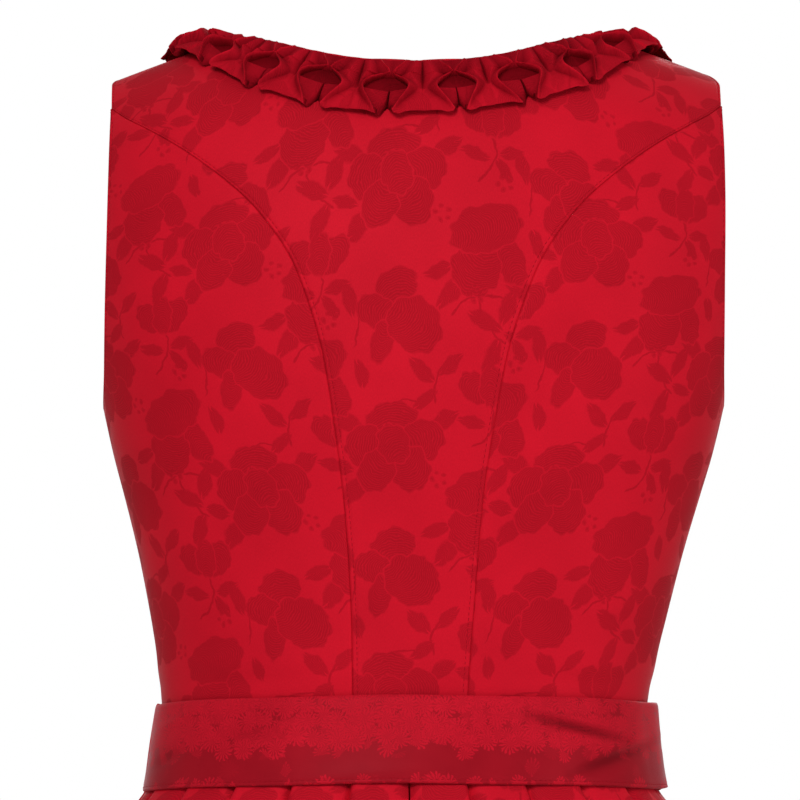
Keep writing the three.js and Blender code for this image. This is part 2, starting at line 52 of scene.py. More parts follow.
# The skirt has two more columns: the depth of its folds and how far its pleats have opened.
SKIRT = [
    (WAIST, 134.4, 90.7, 101.7, 2.2, 3.6, 0), (BAND_BOTTOM, 141.0, 96.7, 107.7, 2.2, 4.6, 0),
    (-425, 147.0, 101.0, 112.0, 2.2, 5.4, 0.01), (-445, 153.5, 107, 117, 2.18, 7, 0.05),
    (-515, 180, 133, 140, 2.15, 13, 0.3), (-625, 215, 167, 172, 2.1, 22, 0.7),
    (-760, 252, 200, 203, 2.05, 30, 1), (-920, 290, 230, 232, 2, 36, 1), (-1090, 326, 257, 258, 2, 40, 1),
]
# The form that the band, the ties, the apron and the bow lie on.
OUTER = [
    (-345, 131.8, 88.8, 103.4, 2.2), (BAND_TOP, 134, 90.9, 104.9, 2.2),
    (BAND_BOTTOM, 141.2, 97.2, 110.4, 2.2),
] + [row[:5] for row in SKIRT[2:]]
# Columns: height and half width.
BACK_SEAM = [
    (-46, 164.6), (-53, 157), (-61, 145), (-71, 130), (-81, 116.3), (-94, 100.6), (-106, 88.2),
    (-122, 75.6), (-137, 66.4), (-155, 59), (-180, 51), (-206, 45.7), (-260, 37.7), (-312, 33.3),
    (-362, 31), (WAIST, 30.5),
]
BACK_ARMHOLE = [
    (-27, 166), (-46, 165.2), (-60, 165.4), (-100, 166.4), (-150, 167), (-190, 167.8), (-208, 169),
]
FRONT_SEAM = [
    (-124, 152.4), (-140, 140), (-160, 127), (-185, 112), (-210, 101), (-235, 93), (-262, 86),
    (-300, 76), (-345, 67), (WAIST, 58),
]
FRONT_ARMHOLE = [
    (-27, 166), (-55, 160), (-90, 154), (-124, 152.4), (-140, 153), (-170, 157), (-196, 164),
    (-208, 169),
]
NECK = {"half": 112, "level": -60, "back": 143, "front": 169, "back_square": 2.2, "front_square": 2.5}
RIDGE_HALF, SLOPE, TURN, NAPE, FADE = 92, 0.37, 60, 30, 260
BUST = {"x": 80, "z": -258, "out": 15, "wide": 46, "high": 48}
UNDERARM = -208
LAP, UNDERLAP, LAP_LIFT, UNDER_SINK = 9, 8, 3, 1.6
PLEATS = 24
BAND_END = 0.245
SIDES = ((1, "left"), (-1, "right"))
DRESS_WALL, APRON_WALL, RUCHE_WALL, KNOT_WALL = 1.2, 1.1, 0.45, 0.9
BOW = {"share": 0.545, "z": -393, "loop": 82, "tail": 330, "half": 24}
APRON_SIDE, APRON_HEM, APRON_FOLDS = 0.275, -1035, 15


def smooth(table, z, column):
    """A smooth value of one column of a table at the heights z."""
    table = np.asarray(table, float)
    z = np.asarray(z, float)
    heights, values = table[:, 0], table[:, column]
    last = len(heights) - 1
    i = np.clip(np.searchsorted(-heights, -z, side="right") - 1, 0, last - 1)
    low = np.maximum(np.arange(last + 1) - 1, 0)
    high = np.minimum(np.arange(last + 1) + 1, last)
    slopes = (values[high] - values[low]) / (heights[high] - heights[low])
    run = heights[i + 1] - heights[i]
    t = np.clip((z - heights[i]) / run, 0, 1)
    t2, t3 = t * t, t * t * t
    return (
        (2 * t3 - 3 * t2 + 1) * values[i] + (t3 - 2 * t2 + t) * run * slopes[i]
        + (3 * t2 - 2 * t3) * values[i + 1] + (t3 - t2) * run * slopes[i + 1]
    )


def power(value, exponent):
    return np.sign(value) * np.abs(value) ** exponent


def ease(t):
    s = np.clip(t, 0, 1)
    return s * s * (3 - 2 * s)


def bump(x, centre, width):
    """A soft hill of height 1."""
    return np.exp(-(((np.asarray(x, float) - centre) / width) ** 2))


def run_lengths(points):
    """The length along each row of points, from the row's start."""
    steps = np.linalg.norm(np.diff(points, axis=-2), axis=-1)
    return np.concatenate([np.zeros_like(steps[..., :1]), np.cumsum(steps, axis=-1)], axis=-1)


def ridge(x):
    """The height of the shoulder ridge."""
    out = np.abs(x) / RIDGE_HALF
    return np.where(out > 1, -SLOPE * RIDGE_HALF * (out - 1), NAPE * (1 - out * out))


QUARTER = math.pi / 2 * TURN


def height(x, v):
    """The height of a place: TURN is the radius of the cloth's turn over the shoulder."""
    over = np.abs(v)
    drop = np.where(over < QUARTER, TURN * (1 - np.cos(over / TURN)), TURN + over - QUARTER)
    return ridge(x) * (1 - ease(over / FADE)) - drop


def on_form(phi, v):
    """Places on the form: phi turns from the centre to the side, v runs over the shoulder, back positive."""
    phi, v = np.broadcast_arrays(np.asarray(phi, float), np.asarray(v, float))
    z = height(0 * v, v)
    for _ in range(8):
        x = smooth(FORM, z, 1) * power(np.sin(phi), 2 / smooth(FORM, z, 4))
        z = height(x, v)
    across = power(np.cos(phi), 2 / smooth(FORM, z, 4))
    turned = np.sin(np.minimum(np.abs(v), QUARTER) / TURN)
    depth = np.where(v < 0, smooth(FORM, z, 3), smooth(FORM, z, 2)) * across * turned
    dx = (np.hypot(x, 30) - BUST["x"]) / BUST["wide"]
    dz = (z - BUST["z"]) / BUST["high"]
    swell = BUST["out"] * np.exp(-dx * dx - dz * dz) * np.minimum(across * 3, 1)
    return np.stack([x, np.where(v < 0, -depth - swell, depth), z], -1)


def form_points(phi, v, lift=0):
    """The same places moved out by lift, with their outward normals."""
    phi, v = np.broadcast_arrays(np.asarray(phi, float), np.asarray(v, float))
    along = on_form(phi + 0.004, v) - on_form(phi - 0.004, v)
    down = on_form(phi, v + 0.5) - on_form(phi, v - 0.5)
    normal = np.cross(along, down)
    normal /= np.linalg.norm(normal, axis=-1, keepdims=True) + 1e-12
    return on_form(phi, v) + normal * np.asarray(lift, float)[..., None], normal


def turn_of(x, z):
    share = np.minimum(np.abs(x) / smooth(FORM, z, 1), 1)
    return np.arcsin(share ** (smooth(FORM, z, 4) / 2)) * np.sign(x)


def place(x, z, front=False):
    """Form coordinates of points given by their half width and height."""
    x, z = np.broadcast_arrays(np.asarray(x, float), np.asarray(z, float))
    near, far = np.zeros_like(z), np.full_like(z, 800.0)
    for _ in range(40):
        middle = (near + far) / 2
        above = height(x, middle) > z
        near, far = np.where(above, middle, near), np.where(above, far, middle)
    return turn_of(x, z), (-near if front else near)


def neck_edge(turn):
    """The neck edge as half width and distance over the shoulder; turn is 0 at the centre back."""
    cos, sin = np.cos(turn), np.sin(turn)
    square = np.where(cos < 0, NECK["front_square"], NECK["back_square"])
    reach = np.where(cos < 0, NECK["front"], NECK["back"])
    return NECK["half"] * power(sin, 2 / square), NECK["level"] + reach * power(cos, 2 / square)


# Lengths round the form from the centre, for the cloth's own coordinates.
grid_v = np.linspace(-480, 480, 193)
grid_phi = np.linspace(-math.pi / 2, math.pi / 2, 181)
arcs = run_lengths(on_form(grid_phi[None, :], grid_v[:, None]))
arcs -= arcs[:, len(grid_phi) // 2, None]


def arc(phi, v):
    a = np.clip((phi - grid_phi[0]) / (grid_phi[1] - grid_phi[0]), 0, len(grid_phi) - 1.001)
    b = np.clip((v - grid_v[0]) / (grid_v[1] - grid_v[0]), 0, len(grid_v) - 1.001)
    i, j = a.astype(int), b.astype(int)
    s, t = a - i, b - j
    upper = arcs[j, i] * (1 - s) + arcs[j, i + 1] * s
    lower = arcs[j + 1, i] * (1 - s) + arcs[j + 1, i + 1] * s
    return upper * (1 - t) + lower * t


# Meshes


# How the worn dress leans: height, shift across, twist in radians and change of width.
LEAN = [
    (60, -2.4, 0, 0.010), (-60, -2.4, 0, 0.010), (-120, -2.2, 0, 0.008), (-200, -0.8, 0, 0.002),
    (-260, 0.2, 0, 0), (-320, 2.6, 0.02, 0.001), (-369, 5.2, 0.034, -0.004), (-420, 6.2, 0.034, -0.010),
    (-520, 4.0, 0.02, 0), (-700, 0, 0, 0), (-1120, 0, 0, 0),
]


def leaned(points):
    """The points of the dress as it hangs in wear, a little to one side."""
    z = np.clip(points[..., 2], LEAN[-1][0] + 1, LEAN[0][0] - 1)
    shift, twist, wider = (smooth(LEAN, z, k) for k in (1, 2, 3))
    x, y = points[..., 0] * (1 + wider), points[..., 1]
    cos, sin = np.cos(twist), np.sin(twist)
    return np.stack([x * cos - y * sin + shift, y * cos + x * sin, points[..., 2]], -1)


def make_object(name, points, faces, uv, material, sharp=50, painted_shading=None):
    """A smooth-shaded mesh object from points in millimetres; uv and the painted shading have one row per
    point, the painted shade and painted highlight kept as a point attribute for the materials.
    """
    mesh = bpy.data.meshes.new(name)
    sides = faces.shape[1]
    used, faces = np.unique(faces, return_inverse=True)
    points, uv = np.asarray(points, float)[used], np.asarray(uv, float)[used]
    faces = faces.reshape(-1, sides).astype(np.int32)
    mesh.vertices.add(len(points))
    mesh.vertices.foreach_set("co", (leaned(points) * MM).ravel())
    mesh.loops.add(faces.size)
    mesh.loops.foreach_set("vertex_index", faces.ravel())
    mesh.polygons.add(len(faces))
    mesh.polygons.foreach_set("loop_start", np.arange(0, faces.size, sides, dtype=np.int32))
    layer = mesh.uv_layers.new(name="cloth")
    layer.data.foreach_set("uv", uv[faces.ravel()].ravel())
    # Each point's painted shade and painted highlight, stored for the materials to darken or lighten the
    # colour.
    if painted_shading is not None:
        painted_shade = mesh.attributes.new("painted_shade", "FLOAT", "POINT")
        painted_shade.data.foreach_set("value", np.asarray(painted_shading, float)[used])
    mesh.update(calc_edges=True)
    mesh.validate()
    mesh.polygons.foreach_set("use_smooth", np.ones(len(mesh.polygons), bool))
    if sharp:
        mesh.set_sharp_from_angle(angle=math.radians(sharp))
    mesh.materials.append(material)
    piece = bpy.data.objects.new(name, mesh)
    bpy.context.scene.collection.objects.link(piece)
    return piece


def grid_faces(index, flip=False):
    """Four-sided faces of a grid of point numbers; flip turns them to face the other way."""
    faces = np.stack([index[:-1, :-1], index[:-1, 1:], index[1:, 1:], index[1:, :-1]], -1)
    faces = faces.reshape(-1, 4)
    return faces[:, ::-1] if flip else faces


def close_up(points, normals, uv, faces, thickness):
    """Closes a sheet of four-sided faces into a wall, with a rim along each open edge."""
    count = len(points)
    edges = np.concatenate([faces[:, [k, (k + 1) % 4]] for k in range(4)])
    key = edges.min(1).astype(np.int64) * count + edges.max(1)
    _, first, times = np.unique(key, return_index=True, return_counts=True)
    rim = edges[first[times == 1]]
    sides = np.stack([rim[:, 1], rim[:, 0], rim[:, 0] + count, rim[:, 1] + count], 1)
    walls = np.concatenate([faces, faces[:, ::-1] + count, sides])
    return np.concatenate([points, points - normals * thickness]), walls, np.concatenate([uv, uv])


def add_piece(nodes, piece):
    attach(piece, "root")
    if nodes:
        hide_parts(*nodes)


def add_sheet(node, sheet, thickness, material, painted_shading=None, sharp=50):
    """Adds one piece of cloth in place of a CAD node. sheet holds points, normals, uv and faces, flat or as
    a grid, and the painted shading has one value per point: painted shade below 1, painted highlight above
    1."""
    points, normals, uv, faces = sheet
    flat = points.reshape(-1, 3), normals.reshape(-1, 3), uv.reshape(-1, 2), faces
    # Without painted shading every point gets 1, which leaves the colour as it is.
    painted_shading = np.ones(2 * points.size // 3) if painted_shading is None else np.concatenate([painted_shading.ravel()] * 2)
    name = "dirndl_apron" if node == "apron_skirt" else f"dirndl_{node}"
    add_piece([node], make_object(name, *close_up(*flat, thickness), material, sharp, painted_shading))


def as_sheet(points, normals, uv):
    """A grid of points as a sheet, with its faces turned the way of its normals."""
    rows, columns = points.shape[:2]
    j, i = rows // 2, columns // 2
    along, down = points[j, i + 1] - points[j, i], points[j + 1, i] - points[j, i]
    flip = np.dot(np.cross(along, down), normals[j, i]) < 0
    return points, normals, uv, grid_faces(np.arange(rows * columns).reshape(rows, columns), flip)


def join_shapes(shapes):
    """Joins (points, faces) pairs into one."""
    points, faces, start = [], [], 0
    for p, f in shapes:
        points.append(p)
        faces.append(np.asarray(f) + start)
        start += len(p)
    return np.concatenate(points), np.concatenate(faces)


# Materials


class Net:
    """Short names for the nodes of one node tree."""

    def __init__(self, tree):
        self.tree = tree

    def node(self, kind, inputs=(), **settings):
        node = self.tree.nodes.new(kind)
        for key, value in settings.items():
            setattr(node, key, value)
        for key, value in dict(inputs).items():
            if isinstance(value, bpy.types.NodeSocket):
                self.tree.links.new(value, node.inputs[key])
            else:
                node.inputs[key].default_value = value
        return node

    def math(self, operation, *values, clamp=False):
        node = self.node("ShaderNodeMath", dict(enumerate(values)), operation=operation, use_clamp=clamp)
        return node.outputs[0]

    def fma(self, a, b, c, clamp=False):
        return self.math("MULTIPLY_ADD", a, b, c, clamp=clamp)

    def plus(self, a, b, clamp=False):
        return self.math("ADD", a, b, clamp=clamp)

    def times(self, a, b):
        return self.math("MULTIPLY", a, b)

    def far(self, x, y):
        """The distance from the middle."""
        return self.math("SQRT", self.fma(x, x, self.times(y, y)))

    def noise(self, at, scale, detail=2.0):
        return self.node("ShaderNodeTexNoise", {"Vector": at, "Scale": scale, "Detail": detail})

    def warped(self, at, scale, detail, reach):
        """Coordinates that a soft noise pushes about."""
        bend = self.noise(at, scale, detail).outputs["Color"]
        pushed = {0: bend, 1: (reach, reach, 0.0), 2: at}
        return self.node("ShaderNodeVectorMath", pushed, operation="MULTIPLY_ADD").outputs[0]

    def inside(self, f, sharp=9.0):
        """1 where f is under 1, with a soft edge."""
        return self.fma(f, -sharp, sharp + 0.5, clamp=True)

    def mix(self, factor, a, b):
        node = self.node("ShaderNodeMix", data_type="RGBA")
        for socket, value in zip((node.inputs[0], node.inputs[6], node.inputs[7]), (factor, a, b)):
            if isinstance(value, bpy.types.NodeSocket):
                self.tree.links.new(value, socket)
            else:
                socket.default_value = value
        return node.outputs[2]

    def turned(self, u, v, at, angle, half_length, half_width):
        """Coordinates along and across a shape at a place, in units of its half sizes."""
        c, s = math.cos(math.radians(angle)), math.sin(math.radians(angle))
        x, y = at
        p = self.fma(v, s / half_length, -(x * c + y * s) / half_length)
        p = self.fma(u, c / half_length, p)
        q = self.fma(v, c / half_width, (x * s - y * c) / half_width)
        q = self.fma(u, -s / half_width, q)
        return p, q


FINE_LINES = 2 * math.pi / 1.35


class Weave:
    """Lays flowers, leaves, berries and stems of one pattern over each other. Lengths in millimetres."""

    WIDE, TALL = 92.0, 132.0

    def __init__(self, net, uv):
        self.net = net
        split = net.node("ShaderNodeSeparateXYZ", {0: uv})
        self.u, self.v = split.outputs[0], split.outputs[1]
        self.tone = None
        self.lines = None

    def at(self, x, y):
        """Local coordinates round one motif of the half-drop repeat."""
        net = self.net
        across = net.fma(self.u, 1 / self.WIDE, -x / self.WIDE)
        column = net.math("ROUND", across)
        local_u = net.times(net.math("SUBTRACT", across, column), self.WIDE)
        dropped = net.fma(column, self.TALL / 2, self.v)
        local_v = net.math("WRAP", net.plus(dropped, -y), self.TALL / 2, -self.TALL / 2)
        return local_u, local_v

    def lay(self, f, lines, sharp=9.0, gap=0.0):
        """Lays a shape, where f is under 1, over what is there, with a thin gap round it."""
        net = self.net
        mask = net.inside(f, sharp)
        if self.tone is None:
            self.tone = mask
            self.lines = net.times(mask, lines)
            return
        if gap:
            clear = net.fma(f, 2 * sharp, -2 * sharp * (1 + gap) - 0.4, clamp=True)
            self.tone = net.times(self.tone, clear)
            self.lines = net.times(self.lines, clear)
        self.tone = net.math("MAXIMUM", self.tone, mask)
        self.lines = net.fma(mask, lines, self.lines)

    def lobe(self, u, v, at, angle, a, b, gap=0.02):
        """A rounded petal with fine lines that arch the way of its outer edge."""
        net = self.net
        p, q = net.turned(u, v, at, angle, a, b)
        across = net.times(q, q)
        f = net.fma(p, p, across)
        turn = net.math("ARCTAN2", q, p)
        waves = net.math("COSINE", net.fma(turn, 3.5 + round(a) % 3 / 2, at[0] * 0.7))
        scallops = net.math("ABSOLUTE", waves)
        f = net.times(f, net.fma(scallops, -0.2, 1.15))
        arches = net.fma(across, 0.6, p)
        self.lay(f, net.times(arches, a * FINE_LINES), sharp=0.55 * min(a, b), gap=gap)

    def leaf(self, u, v, at, angle, a, b):
        """A pointed leaf with slanting veins and a light middle vein."""
        net = self.net
        p, q = net.turned(u, v, at, angle, a, b)
        side = net.math("ABSOLUTE", q)
        f = net.fma(p, p, side)
        cleft = net.plus(f, net.fma(side, -6.0, 0.8, clamp=True))
        slant = net.fma(side, -0.9, p)
        self.lay(cleft, net.times(slant, a * FINE_LINES * 0.8), sharp=3.4)

    def stem(self, u, v, centre, radius, half_plane, thin=0.55):
        """A thin arc of a circle, kept on one side of a line."""
        net = self.net
        du = net.plus(u, -centre[0])
        dv = net.plus(v, -centre[1])
        off = net.math("ABSOLUTE", net.plus(net.far(du, dv), -radius))
        a, b, c = half_plane
        beyond = net.math("MAXIMUM", net.fma(u, a, net.fma(v, b, c)), 0.0)
        f = net.fma(off, 1 / thin, beyond)
        self.lay(f, 0.0, sharp=1.2)

    def berries(self, u, v, at, ring, size):
        """Five small berries in a ring."""
        net = self.net
        du, dv = net.plus(u, -at[0]), net.plus(v, -at[1])
        angle = net.math("ARCTAN2", dv, du)
        far = net.far(du, dv)
        turn = net.math("WRAP", angle, math.pi / 5, -math.pi / 5)
        side = net.times(net.math("SINE", turn), far)
        along = net.plus(net.times(net.math("COSINE", turn), far), -ring)
        f = net.times(net.fma(side, side, net.times(along, along)), 1 / size**2)
        self.lay(f, net.times(f, 3.0), sharp=3.0)


# The motifs of one repeat: each has its place and its shapes, from the lowest layer to the top one.
MOTIFS = (
    # A full peony, with leaves round it.
    ((25, 24), (
        ("leaf", (25, 13), 24, 10, 4.6), ("leaf", (20, -22), -50, 11, 5.0),
        ("leaf", (-27, 15), 150, 9, 4.2), ("berries", (-24, -17), 3.4, 1.3), ("lobe", (2, 14), 84, 10, 14),
        ("lobe", (-15, 4), 168, 11.5, 11), ("lobe", (15, 1), 2, 11, 11.5),
        ("lobe", (-8, -11), 238, 12.5, 11), ("lobe", (9, -12), -62, 12, 9.5),
        ("lobe", (0, 2), 70, 10.5, 8.5),
    )),
    # A rose that leans over: a broad cap over a bell of petals.
    ((71, 58), (
        ("stem", (-2, -44), 21, (-0.3, -1, -28), 0.6), ("leaf", (17, -22), -48, 12, 4.8),
        ("leaf", (24, -12), -18, 9, 3.6), ("lobe", (-14, -6), 62, 13, 7.5), ("lobe", (4, -10), -70, 14, 13),
        ("lobe", (-1, 9), 162, 20, 11.5),
    )),
    # An open blossom with one large petal.
    ((22, 90), (
        ("stem", (-27, -22), 29, (-1, -0.4, -2), 0.6), ("lobe", (3, 15), 80, 9, 11.5),
        ("lobe", (14, 3), 15, 10.5, 8), ("lobe", (10, -12), -75, 11.5, 6.2),
        ("lobe", (-7, -4), 215, 15.5, 13),
    )),
    # A half closed blossom on a stem, with small leaves.
    ((66, 114), (
        ("stem", (16, -8), 17.5, (1, 0.3, -1.5)), ("lobe", (8, 7), 40, 10, 7.5),
        ("lobe", (-7, 7), 130, 10.5, 7.5), ("lobe", (0, 8), 92, 11, 6), ("leaf", (-10, -9), 165, 8, 3.2),
        ("leaf", (9.5, -11), 12, 8.5, 3.4), ("leaf", (-6, -18), -130, 7, 2.9),
    )),
    # Sprays of leaves, stems and berries between them.
    ((62, 14), (
        ("stem", (-14, 20), 25, (-1, 0.15, -2)), ("leaf", (-4, 15), 112, 10, 4.2),
        ("leaf", (8, 8), 28, 10.5, 4.4), ("leaf", (-9, 0), 196, 8, 3.4), ("leaf", (4, -9), -62, 10, 4.2),
        ("berries", (13, 21), 3.4, 1.5),
    )),
    ((46, 84), (
        ("stem", (24, 2), 25, (1, 0.1, 0.5)), ("leaf", (4, 15), 76, 9, 3.8),
        ("leaf", (-3, -22), -105, 8, 3.4), ("berries", (14, 5), 3.4, 1.4),
    )),
    ((3, 57), (
        ("stem", (-18, -4), 19, (-1, -0.2, -1.5)), ("leaf", (-7, 9), 140, 9, 3.6),
        ("leaf", (8, 7), 44, 9.5, 4), ("stem", (14, -20), 12, (-1, -0.5, 3), 0.5),
        ("leaf", (6, -8), -36, 8.5, 3.5),
    )),
)


def flower_group():
    """The bodice cloth's woven pattern: its tone and its fine lines, from the cloth's coordinates."""
    group = bpy.data.node_groups.new("woven_flowers", "ShaderNodeTree")
    group.interface.new_socket("Place", in_out="INPUT", socket_type="NodeSocketVector")
    group.interface.new_socket("Tone", in_out="OUTPUT", socket_type="NodeSocketFloat")
    group.interface.new_socket("Lines", in_out="OUTPUT", socket_type="NodeSocketFloat")
    net = Net(group)
    start = group.nodes.new("NodeGroupInput")
    weave = Weave(net, net.warped(start.outputs[0], 0.13, 2.5, 5.0))
    kinds = {"leaf": weave.leaf, "lobe": weave.lobe, "stem": weave.stem, "berries": weave.berries}
    for spot, shapes in MOTIFS:
        u, v = weave.at(*spot)
        for kind, *values in shapes:
            kinds[kind](u, v, *values)
    end = group.nodes.new("NodeGroupOutput")
    group.links.new(weave.tone, end.inputs[0])
    group.links.new(net.math("SINE", weave.lines), end.inputs[1])
    return group


def new_material(name):
    material = bpy.data.materials.new(name)
    material.use_nodes = True
    material.node_tree.nodes.clear()
    return material, Net(material.node_tree)


def new_cloth(name):
    """A new material, its nodes and the cloth's coordinates in millimetres."""
    material, net = new_material(name)
    return material, net, net.node("ShaderNodeUVMap", uv_map="cloth").outputs[0]


def finish_cloth(net, colour, value, roughness, normal, sheen=0.02, specular=0.07):
    tinted = net.node("ShaderNodeHueSaturation", {"Color": colour, "Value": value}).outputs[0]
    shader = net.node(
        "ShaderNodeBsdfPrincipled",
        {
            "Base Color": tinted, "Roughness": roughness, "Sheen Weight": sheen,
            "Sheen Roughness": 0.35, "Sheen Tint": (1.0, 0.3, 0.36, 1.0), "Specular IOR Level": specular,
            "Specular Tint": (1.0, 0.35, 0.42, 1.0), "Normal": normal,
        },
    )
    net.node("ShaderNodeOutputMaterial", {0: shader.outputs[0]})


def threads(net, uv, strength, across=2.4, along=0.9):
    """A fine uneven weave as a bump."""
    stretched = net.node("ShaderNodeMapping", {"Vector": uv, "Scale": (across, along, 1.0)})
    grain = net.noise(stretched.outputs[0], 1.0).outputs[0]
    relief = net.node("ShaderNodeBump", {"Height": grain, "Strength": strength, "Distance": 0.0003})
    return relief.outputs[0], grain


def painted_fold_shade(net):
    """Painted shade and painted highlight of the folds: a value of each point of the mesh that darkens the
    cloth where shade falls and lightens it on lit ridges.
    """
    return net.node("ShaderNodeAttribute", attribute_name="painted_shade").outputs["Fac"]


# Ground and motif of the bodice's and the apron's cloth.
GROUND, MOTIF = (0.60, 0.0072, 0.021), (0.415, 0.0052, 0.0145)
BAND_GROUND, BAND_FLOWER = (0.335, 0.0062, 0.0145, 1), (0.56, 0.0082, 0.0225, 1)
flowers = flower_group()


def dress_material(name, painted_shade=1.0, folded=False):
    """The woven cloth, both its colours darkened by the second argument as painted shade; folded is for the
    ruche, where the pattern is lost in the pleats and each point's painted shade and painted highlight scale
    the colour's value.
    """
    material, net, uv = new_cloth(name)
    woven = net.node("ShaderNodeGroup", node_tree=flowers)
    net.tree.links.new(uv, woven.inputs[0])
    tone, lines = woven.outputs[0], woven.outputs[1]
    normal, grain = threads(net, uv, 0.25)
    wide = net.noise(uv, 0.02).outputs[0]
    fleck = net.times(net.plus(grain, -0.5), 0.5)
    coarse = net.node("ShaderNodeMapping", {"Vector": uv, "Scale": (1.25, 0.8, 1.0)}).outputs[0]
    sparkle = net.fma(net.noise(coarse, 1.0, 1.0).outputs[0], 4.0, -2.0)
    motif = net.fma(lines, -0.4, net.fma(sparkle, 0.3, 0.45 if folded else 0.83))
    amount = net.times(tone, net.fma(fleck, 1.5, motif))
    # A factor under 1 gives a darker copy of both colours, painted shade.
    ground, flower = ((*(c * painted_shade for c in colour), 1) for colour in (GROUND, MOTIF))
    base = net.mix(amount, ground, flower)
    soft = net.fma(wide, 0.3, net.fma(fleck, 0.5, net.fma(sparkle, 0.035, 0.85)))
    # On the ruche, each point's painted shade and painted highlight scale the colour's value.
    if folded:
        finish_cloth(net, base, net.times(soft, painted_fold_shade(net)), 0.75, normal, specular=0.02)
    else:
        finish_cloth(net, base, soft, net.fma(tone, 0.12, 0.5), normal)
    return material


BARE_STRIPES, RAYS = 52.0, 14.0


def spiky_flowers(net, uv, size, seed, share):
    """Small many-petalled flowers scattered in cells, a share of them, thinning out round bare stripes."""
    shifted = net.node("ShaderNodeMapping", {"Vector": uv, "Location": (seed, seed * 0.37, 0.0)}).outputs[0]
    cells = net.node("ShaderNodeTexVoronoi", {"Vector": shifted, "Scale": 1 / size, "Randomness": 0.8})
    pair = {0: shifted, 1: cells.outputs["Position"]}
    centre = net.node("ShaderNodeVectorMath", pair, operation="SUBTRACT")
    split = net.node("ShaderNodeSeparateXYZ", {0: centre.outputs[0]})
    chance = net.node("ShaderNodeSeparateXYZ", {0: cells.outputs["Color"]})
    angle = net.math("ARCTAN2", split.outputs[1], split.outputs[0])
    far = net.far(split.outputs[0], split.outputs[1])
    spun = net.fma(chance.outputs[0], 6.0, net.fma(angle, RAYS, net.times(far, 0.5)))
    rays = net.math("COSINE", spun)
    edge = net.fma(rays, 0.07 * size, 0.5 * size)
    inside = net.fma(net.math("SUBTRACT", edge, far), 1.6, 0.5, clamp=True)
    petals = net.fma(rays, net.fma(far, 0.16, 0.05, clamp=True), 0.62)
    middle = net.node("ShaderNodeSeparateXYZ", {0: cells.outputs["Position"]}).outputs[1]
    stripe = net.math("WRAP", net.plus(middle, -seed * 0.37), BARE_STRIPES, 0.0)
    bare = net.math("ABSOLUTE", net.plus(stripe, -10.5))
    keep = net.times(net.fma(bare, 0.115, -0.66, clamp=True), share)
    here = net.fma(net.math("SUBTRACT", keep, chance.outputs[1]), 14.0, 0.5, clamp=True)
    return net.times(net.times(inside, petals), here)


def apron_material(name):
    """The cloth of the apron, its band and ties: three sizes of small flowers on a darker ground."""
    material, net, uv = new_cloth(name)
    warped = net.warped(uv, 0.55, 2.0, 2.2)
    first = spiky_flowers(net, warped, 10.5, 3.0, 0.95)
    second = spiky_flowers(net, warped, 8.0, 41.0, 0.9)
    third = spiky_flowers(net, warped, 6.0, 87.0, 0.9)
    tone = net.math("MAXIMUM", net.math("MAXIMUM", first, second), net.times(third, 0.8))
    normal, grain = threads(net, uv, 0.22, 3.0, 1.2)
    fleck = net.times(net.plus(grain, -0.5), 0.7)
    amount = net.plus(tone, net.times(fleck, tone), clamp=True)
    base = net.mix(amount, BAND_GROUND, BAND_FLOWER)
    # Each point's painted shade darkens the colour in the tie's creases.
    soft = net.times(net.fma(net.noise(uv, 0.03).outputs[0], 0.4, 0.8), painted_fold_shade(net))
    finish_cloth(net, base, soft, net.fma(tone, 0.12, 0.38), normal, sheen=0.2, specular=0.06)
    return material


def plain_material(name, colour, roughness, strength=0.3):
    material, net, uv = new_cloth(name)
    normal, grain = threads(net, uv, strength)
    finish_cloth(net, colour, net.fma(grain, 0.4, 0.8), roughness, normal)
    return material


dress_cloth = dress_material("dress_cloth_look")
# The ruche's cloth: the same cloth darkened to 0.8 as painted shade of its pleats.
trim_cloth = dress_material("trim_cloth_look", 0.8, folded=True)
apron_cloth = apron_material("apron_cloth_look")
button_cloth = plain_material("button_cloth_look", (0.5, 0.007, 0.02, 1), 0.45)
thread = plain_material("thread_look", (0.33, 0.004, 0.012, 1), 0.6, 0.1)


def dress_sheet(node, sheet):
    add_sheet(node, sheet, DRESS_WALL, dress_cloth)


def apron_sheet(node, sheet, thickness=APRON_WALL, painted_shading=None):
    add_sheet(node, sheet, thickness, apron_cloth, painted_shading)


# Bodice panels


def spaced(length, count, near):
    """Positions from 0 to each length, one row per length, with set distances near both ends."""
    length = np.asarray(length, float)[:, None]
    left = np.asarray([0.0, *near])[None, :] * np.minimum(1, 0.42 * length / max(near))
    right = length - left[:, ::-1]
    t = np.linspace(0, 1, count + 2)[None, 1:-1]
    middle = left[:, -1:] + (right[:, :1] - left[:, -1:]) * t
    return np.concatenate([left, middle, right], axis=1)


STITCH_IN = 2.9
FINE = (0.35, 0.8, 1.4, 2.1, STITCH_IN, 3.6, 5, 8)
# Half the gap between two panels, in millimetres and as a turn at the side seam.
SEAM_HALF, SEAM_TURN = 0.003, 0.00002

ridge_turn = math.acos((-NECK["level"] / NECK["back"]) ** (NECK["back_square"] / 2))
neck_turns = np.linspace(-math.pi + 0.001, math.pi - 0.001, 2401)
neck_x, neck_v = neck_edge(neck_turns)


def neck_distance(x, v):
    """How far places are from the neck edge, over the flattened cloth."""
    far = np.empty(np.shape(x))
    for j in range(len(far)):
        gaps = np.hypot(x[j][:, None] - neck_x[None, ::3], v[j][:, None] - neck_v[None, ::3])
        far[j] = gaps.min(1)
    return far


